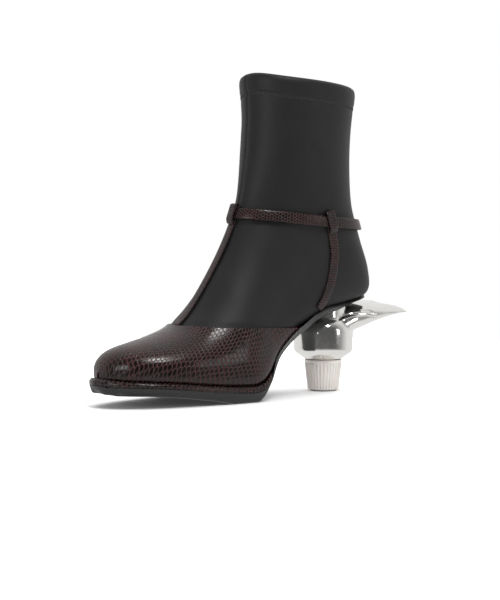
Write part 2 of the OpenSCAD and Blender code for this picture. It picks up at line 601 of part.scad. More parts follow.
module insole_board() placed() color([.7, .6, .45]) difference() {
    board_layer(BOARD_U, 6, 0, board_t);
    fastener_holes();
    translate([SCREW[0], SCREW[1], screw_z - .9]) cylinder(r = head_r + .05, h = 20, $fn = 24);
    rivet_holes();
}
module footbed() placed() color([.12, .11, .11])
    board_layer([for (u = BOARD_U) if (u > 2 && u < 13.6) u], 9, bed_h, bed_h + footbed_t);

// Steel shank under the board, from the ball to the seat
shank_u = [8.9, 9.3, 9.8, 10.4, 11, 11.6, 12.2, 12.7];
function shank_at(u, x, h) = let (p = skin(u, 180, .25) + rise(u) * h) [x, p[1], p[2]];
module shank() placed() color([.6, .6, .62]) difference() {
    shell([for (u = shank_u) [for (x = [-shank_w / 2, 0, shank_w / 2]) shank_at(u, x, 0)]],
        [for (u = shank_u) [for (x = [-shank_w / 2, 0, shank_w / 2]) shank_at(u, x, shank_t)]]);
    rivet_holes();
    fastener_holes(.3);
}

// Heel -------------------------------------------------------------------------------------------

neck_r = 10;
tube_z = cap_h + .05;
shoulder_h = 6;

// What lies under the outsole at the seat, taken off the heel's top
module seat_cut() {
    us = [10.4, 10.8, 11.3, 11.8, 12.2, 12.6, 13, 13.4, 13.7, 13.9, 14.3, 14.6];
    function low(u, w) = skin(u, 180 - w * 62, -drop(min(u, 14), 2) - waist_extra - .2);
    function grid(h) = [for (u = us) [for (w = [-1:.25:1]) low(u, w) + [0, 0, h]]];
    shell(grid(0), grid(60));
}

// The folded part of the tube: [y, middle z, half width, half thickness, turn about its length]
TAIL = [[-4, 45, 19, 12, 0], [6, 50.5, 21, 11.5, 0], [15, 54.5, 22.2, 10.5, -1], [25, 57.3, 22.8, 9.3, -3],
    [35, 59.5, 23, 7.6, -5], [44, 61, 23, 5.9, -7], [52, 62, 22.8, 4.2, -8.5], [59, 62.7, 22.5, 2.6, -9.5],
    [64, 63, 22.4, 1.3, -10.2], [67, 63.1, 22.3, .8, -10.4]];
function tail_ring(t) = [for (a = [0:10:350])
    let (ca = cos(a), sa = sin(a), r = pow(pow(abs(ca), 2.3) + pow(abs(sa), 2.3), -1 / 2.3))
    let (w = crimp_w / 22.3 * (t[2] + (t[0] > 40 ? .5 * sin(t[0] * 20) : 0)))
    let (x = w * r * ca, z = t[3] * r * sa + .8 * sin(x * 8) * smooth((t[0] - 40) / 27))
    [x * cos(t[4]) - z * sin(t[4]), t[0] * tail_l / 67, t[1] + lift + x * sin(t[4]) + z * cos(t[4])]];

module heel_tube() placed() color([.85, .85, .86]) difference() {
    union() {
        rotate_extrude($fn = 72) polygon(concat(
            [[0, tube_z - 12], [neck_r, tube_z - 12], [neck_r, tube_z], [cap_r + .35, tube_z],
                [cap_r + .35, tube_z + 1.2], [tube_r - 2.2, tube_z + shoulder_h - 1.4],
                [tube_r - .6, tube_z + shoulder_h - .2], [tube_r, tube_z + shoulder_h + 1.6]],
            [for (a = [0:15:90]) [tube_r - 12 + 12 * cos(a), seat_h - 17 + 12 * sin(a)]],
            [[0, seat_h - 5]]));
        loft([for (t = TAIL) [for (k = [35:-1:0]) tail_ring(t)[k]]]);
    }
    seat_cut();
    cylinder(r = dowel_r + .02, h = seat_h - 18, $fn = 48);
    fastener_holes(.02);
}

module heel_cap() placed() color([.93, .91, .87]) difference() {
    translate([0, 0, tip_t + .05]) linear_extrude(height = cap_h - tip_t - .05, scale = cap_r / tip_r)
        polygon([for (i = [0:ribs - 1], k = [0:3])
            (tip_r - (k < 2 ? 0 : rib_d)) * [cos((i + [.08, .46, .56, .98][k]) * 360 / ribs),
                sin((i + [.08, .46, .56, .98][k]) * 360 / ribs)]]);
    translate([0, 0, tube_z - 12.15]) cylinder(r = neck_r + .02, h = 13, $fn = 72);
    cylinder(r = dowel_r + .02, h = 40, $fn = 48);
}

module heel_tip() placed() color([.55, .54, .53]) {
    cylinder(r1 = tip_r - .5, r2 = tip_r - .1, h = tip_t, $fn = 72);
    cylinder(r = dowel_r - .1, h = tip_t + 3, $fn = 48);
}

module heel_dowel() placed() color([.6, .6, .62])
    translate([0, 0, tip_t + 3.1]) cylinder(r = dowel_r, h = seat_h - 18.1 - tip_t - 3.1, $fn = 48);

module heel_screw() placed() color([.6, .6, .62]) translate([SCREW[0], SCREW[1], 0]) {
    translate([0, 0, seat_h - 18]) cylinder(r = SCREW[2], h = screw_z - seat_h + 17.5, $fn = 24);
    translate([0, 0, screw_z - .8]) cylinder(r1 = SCREW[2], r2 = head_r, h = .8, $fn = 24);
}

module heel_nails() placed() color([.65, .65, .66]) for (p = NAILS)
    translate([p[0], p[1], seat_h - 17]) cylinder(r = p[2], h = nail_z(p) - seat_h + 17, $fn = 24);

sock_lateral();
sock_medial();
vamp();
vamp_lining();
toe_puff();
heel_counter();
counter_lining();
hem_facing();
topline_elastic();
instep_strap();
lateral_strap();
medial_strap();
ankle_strap();
buckle_frame();
buckle_prong();
strap_keeper();
footbed();
insole_board();
shank();
shank_rivets();
bottom_filler();
midsole();
rand();
outsole();
heel_tube();
heel_cap();
heel_tip();
heel_dowel();
heel_screw();
heel_nails();
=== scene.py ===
# %% [markdown]
# # A heeled sock boot
#
# This lesson dresses a finished CAD frame of a left ankle boot. The real boot is made on a last, a solid
# foot shape that the leather is pulled over, so the large soft pieces here are drawn on a last too. The
# rest take their place from the CAD pieces. We start with the frame and keep its box.

# %% Load the frame
import math

import bmesh
import bpy
import numpy as np
from mathutils import Matrix, Vector, noise
from mathutils.bvhtree import BVHTree


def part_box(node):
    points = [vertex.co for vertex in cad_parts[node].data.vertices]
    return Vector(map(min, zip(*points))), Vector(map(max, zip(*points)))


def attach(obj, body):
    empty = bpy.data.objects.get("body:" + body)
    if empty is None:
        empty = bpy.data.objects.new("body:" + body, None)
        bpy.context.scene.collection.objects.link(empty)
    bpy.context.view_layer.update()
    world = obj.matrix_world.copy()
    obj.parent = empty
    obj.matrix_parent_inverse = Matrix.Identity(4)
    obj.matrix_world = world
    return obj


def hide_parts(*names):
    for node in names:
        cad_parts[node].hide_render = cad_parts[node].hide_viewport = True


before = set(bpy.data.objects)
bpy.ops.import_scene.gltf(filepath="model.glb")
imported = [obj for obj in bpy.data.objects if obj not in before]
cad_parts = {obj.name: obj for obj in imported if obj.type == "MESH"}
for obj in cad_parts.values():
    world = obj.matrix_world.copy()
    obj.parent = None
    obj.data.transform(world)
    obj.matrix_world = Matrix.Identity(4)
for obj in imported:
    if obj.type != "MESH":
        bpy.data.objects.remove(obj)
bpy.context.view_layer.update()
MM = 0.001
cap_low, cap_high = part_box("heel_cap")
HEEL = Vector(((cap_low.x + cap_high.x) / 2, (cap_low.y + cap_high.y) / 2, 0))

# %% [markdown]
# ## Camera and light
#
# Product pictures of shoes are taken low, from the front quarter, with a long lens, so that the sole
# reads as a line and the heel keeps its height. The camera stands about 1.15 m off, at shin height for
# the shoe. A white surround does most of the lighting, because patent leather and bright metal show
# little but what they reflect, and one large soft box in front gives them a clear highlight.

# %% Camera
AZIMUTH = math.radians(54)
PITCH = math.atan(70 / 1500)
toward = Vector((-math.sin(AZIMUTH) * math.cos(PITCH), math.cos(AZIMUTH) * math.cos(PITCH), -math.sin(PITCH)))
camera = bpy.data.objects.new("camera", bpy.data.cameras.new("camera"))
camera.location = HEEL + Vector((897.3, -721.4, 123.0)) * MM
camera.rotation_euler = toward.to_track_quat("-Z", "Y").to_euler()
camera.data.lens = 90
camera.data.sensor_width = 36
camera.data.clip_start = 0.05
bpy.context.scene.collection.objects.link(camera)
bpy.context.scene.camera = camera
print("camera stands", round((camera.location - HEEL).length, 3), "m from the heel")


# %% Lights and surround
def soft_box(name, place, aim, size, power, wide=None):
    """An area light at place, facing aim."""
    lamp = bpy.data.objects.new(name, bpy.data.lights.new(name, "AREA"))
    lamp.data.shape = "RECTANGLE"
    lamp.data.size, lamp.data.size_y = wide or size, size
    lamp.data.energy = power
    lamp.location = place
    lamp.rotation_euler = (Vector(aim) - Vector(place)).to_track_quat("-Z", "Y").to_euler()
    bpy.context.scene.collection.objects.link(lamp)
    return lamp


soft_box("overhead_strip", (0.66, -0.12, 1.1), (0, -0.1, 0.05), 0.5, 7, 0.2)
soft_box("front_box", (0.5, -1.25, 0.4), (0, -0.02, 0.12), 0.6, 5, 0.45)
soft_box("side_wall", (1.35, 0.6, 0.3), (0, 0.05, 0.05), 0.6, 1.5, 0.3)
ceiling = bpy.data.objects.new("ceiling", bpy.data.lights.new("ceiling", "SUN"))
ceiling.data.energy = 3.1
ceiling.data.angle = math.radians(70)
ceiling.visible_glossy = False
ceiling.rotation_euler = (math.radians(-14), math.radians(-10), 0)
bpy.context.scene.collection.objects.link(ceiling)
world = bpy.data.worlds.new("surround")
world.use_nodes = True
sky = world.node_tree
sky.nodes.clear()
heading = sky.nodes.new("ShaderNodeTexCoord")
behind = sky.nodes.new("ShaderNodeVectorMath")
behind.operation = "DOT_PRODUCT"
behind.inputs[1].default_value = toward
fade = sky.nodes.new("ShaderNodeMapRange")
fade.interpolation_type = "SMOOTHSTEP"
for socket, value in (("From Min", -0.75), ("From Max", 0.35), ("To Min", 0.1), ("To Max", 0.85)):
    fade.inputs[socket].default_value = value
height = sky.nodes.new("ShaderNodeSeparateXYZ")
table_glow = sky.nodes.new("ShaderNodeMapRange")
for socket, value in (("From Min", -0.08), ("From Max", -0.32), ("To Min", 0.0), ("To Max", 0.85)):
    table_glow.inputs[socket].default_value = value
brighter = sky.nodes.new("ShaderNodeMath")
brighter.operation = "MAXIMUM"
seen = sky.nodes.new("ShaderNodeLightPath")
pick = sky.nodes.new("ShaderNodeMix")
pick.inputs["B"].default_value = 1.0
paper_white = sky.nodes.new("ShaderNodeBackground")
paper_white.inputs["Color"].default_value = (1, 1, 1, 1)
result = sky.nodes.new("ShaderNodeOutputWorld")
for source, target in (
    (heading.outputs["Generated"], behind.inputs[0]), (behind.outputs["Value"], fade.inputs["Value"]),
    (seen.outputs["Is Camera Ray"], pick.inputs["Factor"]), (heading.outputs["Generated"], height.inputs[0]),
    (height.outputs["Z"], table_glow.inputs["Value"]), (fade.outputs["Result"], brighter.inputs[0]),
    (table_glow.outputs["Result"], brighter.inputs[1]), (brighter.outputs[0], pick.inputs["A"]),
    (pick.outputs["Result"], paper_white.inputs["Strength"]), (paper_white.outputs[0], result.inputs[0]),
):
    sky.links.new(source, target)
bpy.context.scene.world = world
bpy.context.scene.view_settings.view_transform = "Standard"
print("3 soft boxes, a broad ceiling, a white backdrop and a dim room on the camera's side")

# %% [markdown]
# ## A small language for finishes
#
# A finish is a network of nodes, and a network is easier to read as arithmetic. `Wire` wraps one output
# socket, and adding, multiplying or comparing wires adds the Math nodes. `Finish` owns one material. Its
# `node` method makes any other node from a type, its settings and its inputs, and `done` plugs the
# results into the shader.


# %% Wires and finishes
class Wire:
    """One output socket. Arithmetic on it adds Math nodes to its material."""

    def __init__(self, finish, socket):
        self.finish, self.socket = finish, socket

    def math(self, operation, *others):
        values = {i: v for i, v in enumerate((self, *others))}
        return self.finish.node("ShaderNodeMath", {"operation": operation}, values)

    def __add__(self, other):
        return self.math("ADD", other)

    def __radd__(self, other):
        return self.math("ADD", other)

    def __sub__(self, other):
        return self.math("SUBTRACT", other)

    def __rsub__(self, other):
        return self.math("MULTIPLY", -1).math("ADD", other)

    def __mul__(self, other):
        return self.math("MULTIPLY", other)

    def __rmul__(self, other):
        return self.math("MULTIPLY", other)

    def __truediv__(self, other):
        return self.math("DIVIDE", other)

    def ramp(self, low, high):
        """0 at low, 1 at high, with soft ends."""
        return self.finish.node(
            "ShaderNodeMapRange", {"interpolation_type": "SMOOTHSTEP"},
            {"Value": self, "From Min": low, "From Max": high},
        )


class Finish:
    """One material, built node by node."""

    def __init__(self, name):
        self.material = bpy.data.materials.new(name)
        self.material.use_nodes = True
        self.tree = self.material.node_tree
        self.shader = self.tree.nodes["Principled BSDF"]

    def node(self, kind, settings=None, inputs=None, out=0):
        made = self.tree.nodes.new(kind)
        for key, value in (settings or {}).items():
            if key == "stops":
                while len(made.color_ramp.elements) < len(value):
                    made.color_ramp.elements.new(0.5)
                for stop, (place, colour) in zip(made.color_ramp.elements, value):
                    stop.position, stop.color = place, (*colour, 1)
            else:
                setattr(made, key, value)
        for key, value in (inputs or {}).items():
            socket = made.inputs[key]
            if isinstance(value, Wire):
                self.tree.links.new(value.socket, socket)
            elif isinstance(value, tuple) and len(value) == 3 and socket.type == "RGBA":
                socket.default_value = (*value, 1)
            else:
                socket.default_value = value
        return Wire(self, made.outputs[out])

    def place(self):
        """Where a point is on the object, in metres."""
        return self.node("ShaderNodeTexCoord", out="Object")

    def laid(self):
        """Where a point is on the flat piece before it was pulled into shape, in millimetres."""
        return self.node("ShaderNodeUVMap", {"uv_map": "laid"})

    def noise(self, where, scale, detail=3, rough=0.5):
        return self.node(
            "ShaderNodeTexNoise", None,
            {"Vector": where, "Scale": scale, "Detail": detail, "Roughness": rough},
        )

    def cells(self, where, scale, feature="F1", out="Distance"):
        return self.node("ShaderNodeTexVoronoi", {"feature": feature}, {"Vector": where, "Scale": scale}, out)

    def split(self, where):
        made = self.node("ShaderNodeSeparateXYZ", None, {"Vector": where})
        return [Wire(self, made.socket.node.outputs[i]) for i in range(3)]

    def tint(self, factor, low, high):
        return self.node("ShaderNodeMix", {"data_type": "RGBA"}, {"Factor": factor, 6: low, 7: high}, 2)

    def relief(self, height, distance, strength=1.0, under=None):
        inputs = {"Height": height, "Distance": distance, "Strength": strength}
        if under is not None:
            inputs["Normal"] = under
        return self.node("ShaderNodeBump", None, inputs)

    def done(self, **sockets):
        for key, value in sockets.items():
            socket = self.shader.inputs[key.replace("_", " ")]
            if isinstance(value, Wire):
                self.tree.links.new(value.socket, socket)
            elif isinstance(value, tuple):
                socket.default_value = (*value, 1)
            else:
                socket.default_value = value
        return self.material


print("finishes are written as arithmetic")

# %% [markdown]
# ## The finishes
#
# The sock is stretch faux leather: nearly black, satin, with a pebble grain well under a millimetre
# across. The vamp, straps and rand are patent leather printed like snake. Its scales are laid on the flat
# piece before lasting, so the pattern reads the flat coordinates, row by row, every second row moved by
# half a scale. Each scale is dark, edged with a thin red-brown line, and slightly domed under the lacquer.


# %% Sock leather
def sock_leather():
    f = Finish("sock_leather")
    where = f.place()
    pebble = f.cells(where, 1500)
    fine = f.noise(where, 2600, 2)
    broad = f.noise(where, 35, 2)
    colour = f.tint(broad, (0.0078, 0.0078, 0.0082), (0.012, 0.012, 0.0125))
    rough = 0.4 + fine * 0.12 + pebble * 0.08
    grain = f.relief(pebble * 0.7 + fine * 0.3, 0.00014, 0.6)
    return f.done(Base_Color=colour, Roughness=rough, Normal=grain, Specular_IOR_Level=0.26)


# %% Snake print
SCALE_W = 3.5
SCALE_L = 3.2


def snake_print(name, wide=SCALE_W, long=SCALE_L, gloss=0.17):
    """Printed patent leather, with scales of wide by long millimetres laid on the flat piece."""
    f = Finish(name)
    x, y, _ = f.split(f.laid())
    wave = f.noise(f.laid(), 0.07, 2)
    x = x / wide + (wave - 0.5) * 0.5
    y = y / long + (wave - 0.5) * 0.4
    row = y.math("FLOOR")
    x = x + row.math("MODULO", 2).math("ABSOLUTE") * 0.5
    column = x.math("FLOOR")
    across = (x - column - 0.5).math("ABSOLUTE")
    along = (y - row - 0.5).math("ABSOLUTE")
    ident = f.node("ShaderNodeCombineXYZ", None, {"X": column, "Y": row})
    chance = f.node("ShaderNodeTexWhiteNoise", {"noise_dimensions": "2D"}, {"Vector": ident})
    far = (across.math("POWER", 3.4) + along.math("POWER", 3.4)).math("POWER", 1 / 3.4)
    inside = 1 - far.ramp(0.37, 0.46)
    patch = f.noise(f.laid(), 0.05, 3).ramp(0.4, 0.62)
    body = f.tint(chance, (0.0022, 0.0009, 0.001), (0.0075, 0.0026, 0.0028))
    edge = f.tint(patch, (0.04, 0.0065, 0.007), (0.02, 0.008, 0.0075))
    colour = f.tint(inside, edge, body)
    speck = f.noise(f.laid(), 2.2, 2)
    tilt = (x - column) * (chance - 0.5) * 0.7
    dome = inside * (0.7 + chance * 0.3) + tilt * inside + speck * 0.1
    rough = gloss + (1 - inside) * 0.2 + speck * 0.06
    bump = f.relief(dome, 0.0003, 0.55)
    return f.done(Base_Color=colour, Roughness=rough, Normal=bump, Specular_IOR_Level=0.42)


# %% Rubber, plastic and metal
def outsole_rubber():
    f = Finish("outsole_rubber")
    where = f.place()
    fine = f.noise(where, 1800, 2)
    worn = f.noise(where, 60, 3)
    colour = f.tint(worn, (0.006, 0.006, 0.0065), (0.012, 0.012, 0.012))
    return f.done(Base_Color=colour, Roughness=0.36 + fine * 0.14, Normal=f.relief(fine, 0.00005, 0.5))


def bright_plating():
    """Vacuum-plated plastic: mirror bright, with the slight ripple of the moulding under it."""
    f = Finish("bright_plating")
    where = f.place()
    ripple = f.noise(where, 55, 2)
    haze = f.noise(where, 240, 3)
    colour = f.tint(haze, (0.78, 0.77, 0.745), (0.86, 0.85, 0.825))
    rough = 0.09 + haze * 0.08
    return f.done(Base_Color=colour, Metallic=1.0, Roughness=rough, Normal=f.relief(ripple, 0.0008, 0.35))


def cap_plastic():
    f = Finish("cap_plastic")
    where = f.place()
    cloud = f.noise(where, 90, 2)
    fine = f.noise(where, 1500, 2)
    colour = f.tint(cloud, (0.8, 0.735, 0.69), (0.86, 0.8, 0.755))
    return f.done(
        Base_Color=colour, Roughness=0.36 + fine * 0.1, Normal=f.relief(fine, 0.00003, 0.4),
        Subsurface_Weight=0.12, Subsurface_Scale=0.003,
    )


def tip_rubber():
    f = Finish("tip_rubber")
    fine = f.noise(f.place(), 1400, 3)
    colour = f.tint(fine, (0.19, 0.18, 0.17), (0.28, 0.27, 0.255))
    return f.done(Base_Color=colour, Roughness=0.5 + fine * 0.2, Normal=f.relief(fine, 0.00005, 0.6))


def worked_steel(name, shine, grain_scale=500, rough=0.22):
    f = Finish(name)
    streak = f.noise(f.place(), grain_scale, 4)
    colour = f.tint(streak, tuple(0.8 * c for c in shine), shine)
    scratch = f.relief(streak, 0.00003, 0.4)
    return f.done(Base_Color=colour, Metallic=1.0, Roughness=rough + streak * 0.12, Normal=scratch)


# %% Thread, lining and the pieces inside
def thread():
    f = Finish("thread")
    ply = f.noise(f.place(), 3000, 2)
    colour = f.tint(ply, (0.014, 0.014, 0.015), (0.04, 0.04, 0.042))
    return f.done(Base_Color=colour, Roughness=0.55 + ply * 0.2, Normal=f.relief(ply, 0.00006, 0.7))


def matt_stuff(name, low, high, scale, depth, rough=0.75):
    """Lining leather, board, felt or cork: two tones, a grain of a given scale and a given relief."""
    f = Finish(name)
    where = f.place()
    grain = f.cells(where, scale)
    fine = f.noise(where, scale * 2.3, 3)
    colour = f.tint(grain * 0.6 + fine * 0.4, low, high)
    return f.done(Base_Color=colour, Roughness=rough + fine * 0.15, Normal=f.relief(grain + fine, depth, 0.6))


SOCK = sock_leather()
SNAKE = snake_print("snake_print")
STRAP_SNAKE = snake_print("strap_snake", 2.1, 1.9, 0.24)
RUBBER = outsole_rubber()
PLATING = bright_plating()
CAP = cap_plastic()
TIP = tip_rubber()
BUCKLE = worked_steel("buckle_nickel", (0.72, 0.71, 0.69), 700, 0.1)
STEEL = worked_steel("inside_steel", (0.55, 0.55, 0.56))
THREAD = thread()
LINING = matt_stuff("lining_leather", (0.13, 0.09, 0.065), (0.2, 0.145, 0.105), 1300, 0.00006)
FELT = matt_stuff("stiffener_felt", (0.5, 0.46, 0.37), (0.66, 0.61, 0.5), 900, 0.00012, 0.85)
CORK = matt_stuff("cork", (0.2, 0.11, 0.05), (0.42, 0.27, 0.15), 420, 0.0002, 0.8)
BOARD = matt_stuff("board", (0.36, 0.28, 0.18), (0.5, 0.4, 0.27), 1100, 0.00005)
FOOTBED = matt_stuff("footbed_leather", (0.014, 0.013, 0.013), (0.03, 0.028, 0.027), 1200, 0.00008, 0.6)
ELASTIC = matt_stuff("elastic_weave", (0.5, 0.48, 0.44), (0.72, 0.7, 0.66), 1600, 0.0001, 0.8)
print(len(bpy.data.materials), "finishes")

# %% [markdown]
# ## The last
#
# A last is easiest to draw as sections that fan round the foot: each runs from a point on the front ridge
# to a point on the sole or the back, has a half width on either side, and is a rounded oval between them.
# A smooth curve through the sections fills the rest. `skin` gives a point of that surface, or of any
# layer under or over it, and every leather piece is cut from it.

# %% Sections of the last, in millimetres from the heel's axis
LAST = np.array(
    [
        # front y, z; sole or back y, z; outer and inner half width; share behind; front, back squareness
        (-198.0, 25.0, -198.0, 19.5, 1.5, 1.5, 0.45, 2.00, 3.0),
        (-196.0, 32.0, -196.0, 19.2, 10.0, 10.0, 0.45, 2.00, 3.6),
        (-191.0, 37.0, -191.0, 18.8, 17.0, 16.0, 0.43, 2.00, 4.4),
        (-182.0, 40.5, -182.0, 18.4, 24.5, 22.0, 0.40, 2.00, 5.2),
        (-168.0, 43.8, -168.0, 17.6, 31.0, 28.5, 0.38, 2.00, 6.0),
        (-151.0, 48.0, -149.0, 15.8, 36.0, 33.0, 0.36, 2.00, 6.0),
        (-135.5, 54.0, -127.0, 13.2, 38.5, 37.0, 0.33, 2.00, 6.0),
        (-124.5, 64.0, -107.0, 11.3, 40.0, 37.5, 0.31, 1.90, 6.0),
        (-114.5, 77.0, -89.0, 11.0, 40.5, 35.5, 0.30, 1.80, 5.6),
        (-105.0, 91.0, -77.0, 16.5, 38.0, 32.5, 0.31, 1.80, 5.0),
        (-97.0, 104.0, -62.8, 32.6, 33.5, 30.0, 0.36, 1.80, 4.6),
        (-90.0, 117.0, -42.5, 47.2, 31.0, 29.5, 0.41, 1.85, 4.4),
        (-84.5, 129.0, -17.0, 58.3, 30.5, 30.0, 0.45, 1.90, 4.0),
        (-80.5, 140.0, 11.0, 66.6, 30.5, 30.5, 0.46, 1.95, 3.4),
        (-78.0, 150.0, 34.5, 73.5, 30.5, 30.5, 0.47, 2.00, 2.6),
        (-76.5, 159.0, 37.0, 88.0, 31.0, 31.0, 0.48, 2.00, 2.3),
        (-75.0, 169.0, 29.5, 110.0, 31.5, 31.5, 0.50, 2.00, 2.2),
        (-73.6, 180.0, 20.5, 137.0, 32.0, 32.0, 0.50, 2.00, 2.1),
        (-72.5, 192.0, 18.5, 165.0, 32.0, 32.0, 0.50, 2.00, 2.0),
        (-71.8, 208.0, 19.5, 195.0, 32.0, 32.0, 0.50, 2.00, 2.0),
        (-73.5, 234.5, 23.5, 227.5, 34.5, 34.5, 0.50, 2.00, 2.0),
    ]
)
TOP = len(LAST) - 1


def smooth(t):
    t = np.clip(t, 0, 1)
    return t * t * (3 - 2 * t)


def section(u):
    """The section at u, on a smooth curve through the four nearest."""
    u = np.clip(u, 0, TOP)
    i = np.clip(np.floor(u).astype(int), 0, TOP - 1)
    t = (u - i)[..., None]
    a, b, c, d = (LAST[np.clip(i + k, 0, TOP)] for k in (-1, 0, 1, 2))
    return (2 * b + (c - a) * t + (2 * a - 5 * b + 4 * c - d) * t**2 + (3 * b - a - 3 * c + d) * t**3) / 2


def skin(u, phi, depth=0.0):
    """Points of the last in millimetres: u from toe to rim, phi from the ridge over the outer side to the
    sole or the back in degrees, depth inwards."""
    u, phi, depth = np.broadcast_arrays(np.asarray(u, float), phi, depth)
    front_y, front_z, back_y, back_z, outer, inner, share, front_n, back_n = np.moveaxis(section(u), -1, 0)
    tip = np.maximum(0, 1 - u / 2.5)
    inset = depth * (1 - tip)
    length = np.hypot(front_y - back_y, front_z - back_z)
    co, si = np.cos(np.radians(phi)), np.sin(np.radians(phi))
    n = np.where(co >= 0, front_n, back_n)
    r = (np.abs(si) ** n + np.abs(co) ** n) ** (-1 / n)
    x = (np.where(si >= 0, outer, inner) - inset) * r * si
    v = (np.where(co >= 0, 1 - share, share) * length - inset) * r * co + share * length
    turn = (phi + 180) % 360 - 180
    rim = smooth((u - 17) / 3) * (1 + 2.2 * np.exp(-(((turn - 12) / 32) ** 2)))
    y = back_y + v * (front_y - back_y) / length + depth * tip
    z = back_z + v * (front_z - back_z) / length + rim
    return np.stack([x, y, z], -1)


def roll(u):
    """How far the rim has rolled inwards at u."""
    t = np.clip((u - TOP + 0.3) / 0.3, 0, 1)
    return 3.2 * (1 - np.sqrt(1 - 0.98 * t * t))


def crossing(phi, level, slope=0.0):
    """The u at which the surface rises through a level that falls by slope towards the heel."""
    low, high = np.zeros_like(phi, float), np.full_like(phi, TOP, float)
    for _ in range(26):
        mid = (low + high) / 2
        p = skin(mid, phi)
        below = p[..., 2] + slope * p[..., 1] < level
        low, high = np.where(below, mid, low), np.where(below, high, mid)
    return (low + high) / 2


print("toe at", skin(0, 0)[1], "rim at", skin(TOP, 0)[2])

# %% [markdown]
# ## Turning grids of points into leather
#
# Leather has a thickness and its cut edges are slightly round, and both catch the light, so a piece is a
# closed shell: a grid for the outside, a small turn over each edge, and a grid for the inside. The same
# function lays the flat coordinates on it, in millimetres, for the printed finishes.


# %% Shell from two grids
def as_object(name, points, faces, flat=None, finish=None):
    """A mesh piece at the origin from points in millimetres from the heel's axis."""
    mesh = bpy.data.meshes.new(name)
    mesh.from_pydata([tuple(Vector(p) * MM + HEEL) for p in points], [], faces)
    if flat is not None:
        layer = mesh.uv_layers.new(name="laid")
        index = np.empty(len(mesh.loops), int)
        mesh.loops.foreach_get("vertex_index", index)
        layer.data.foreach_set("uv", np.asarray(flat, float)[index].ravel())
    for face in mesh.polygons:
        face.use_smooth = True
    piece = bpy.data.objects.new(name, mesh)
    bpy.context.scene.collection.objects.link(piece)
    if finish:
        mesh.materials.append(finish)
    return piece


def shell(name, layers, flat, finish, ring=False):
    """layers: a grid of points for each step from the outside, over the edge, to the inside; all alike.
    The rows of the first layer run out to the edge and those of the last run back."""
    rows, cols = layers.shape[:2]
    wrap = cols if ring else cols - 1
    at = lambda r, c: (r % rows) * cols + c % cols
    faces = [
        (at(r, c), at(r, c + 1), at(r + 1, c + 1), at(r + 1, c)) for r in range(rows) for c in range(wrap)
    ]
    if not ring:
        faces.append([at(r, 0) for r in range(rows)])
        faces.append([at(r, cols - 1) for r in reversed(range(rows))])
    return as_object(name, layers.reshape(-1, 3), faces, flat.reshape(-1, 2), finish)


def facing_out(piece):
    """Recalculates the normals of a closed piece so that they point outwards."""
    work = bmesh.new()
    work.from_mesh(piece.data)
    bmesh.ops.recalc_face_normals(work, faces=work.faces)
    if work.calc_volume(signed=True) < 0:
        bmesh.ops.reverse_faces(work, faces=work.faces)
    volume = work.calc_volume()
    work.to_mesh(piece.data)
    work.free()
    return volume


def on_boot(piece, slot, *nodes):
    """Rides on the boot and stands for these CAD nodes. The slot is not used."""
    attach(piece, "boot")
    if nodes:
        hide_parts(*nodes)
    return piece


print("shells are closed and carry their flat coordinates")

# %% [markdown]
# ## The vamp
#
# The vamp covers the toes and ends in a level line all round, just under the ankle bones' arch. It is
# lasted, so it runs on under the sole, where the outsole hides it. The flat coordinates run along the
# foot and round it from the ridge, which is how the skin lay when it was printed.

# %% Vamp
VAMP_T = 1.3
VAMP_SLOPE = 0.0256
vamp_level = (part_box("vamp")[1].z / MM) - 4.75


def along_foot(u):
    """Distance along the side of the foot, in millimetres, for the flat coordinates."""
    us = np.linspace(0, TOP, 400)
    line = skin(us, 55.0)
    run = np.concatenate([[0], np.cumsum(np.linalg.norm(np.diff(line, axis=0), axis=1))])
    return np.interp(u, us, run)


def around_foot(points, middle_col):
    """Distance round the foot from the ridge, for a grid of points."""
    step = np.linalg.norm(np.diff(points, axis=1), axis=2)
    run = np.concatenate([np.zeros((len(points), 1)), np.cumsum(step, axis=1)], axis=1)
    return run - run[:, [middle_col]]


def lasted_piece(name, level, thick, slope, finish, inner_depth=0.0, rows=110, edge_steps=5):
    """A piece that covers the toe up to a level line, with a rounded top edge."""
    phi = np.linspace(150, -150, 121)
    u_top = crossing(phi, level, slope)
    t = 1 - (1 - np.linspace(0, 1, rows)) ** 1.15
    u = u_top[None] * t[:, None]
    half = thick / 2
    outer = skin(u, phi[None], inner_depth - thick)
    over = [
        skin(u_top + 0.022 * math.cos(a), phi, inner_depth - half - half * math.sin(a))
        for a in np.linspace(math.pi / 2, -math.pi / 2, edge_steps + 2)[1:-1]
    ]
    inner = skin(u[::-1], phi[None], inner_depth)
    grid = np.concatenate([outer, np.array(over), inner])
    u_all = np.concatenate([u, np.repeat(u_top[None], len(over), 0), u[::-1]])
    flat = np.stack([around_foot(grid, 60), along_foot(u_all)], -1)
    return shell(name, grid, flat, finish)


vamp = lasted_piece("vamp_leather", vamp_level, VAMP_T, VAMP_SLOPE, SNAKE)
print("vamp", round(facing_out(vamp) * 1e6, 1), "cm3,", len(vamp.data.polygons), "faces")
on_boot(vamp, "snake", "vamp")

# %% [markdown]
# ## The sock
#
# The sock is sewn from two halves, with a seam up the front and another up the back. The leather dips a
# little into each seam, swells a little over the double hem at the rim, and has faint pulls where the
# ankle bends. All of this is less than half a millimetre deep, but the satin finish shows it.

# %% Sock halves
SOCK_T = 1.2
HEM = 12.5
COVER = 3.6
sock_level = vamp_level - 11.5


def turned_under(u):
    return 152 + 28 * smooth((u - 13) / 1.1)


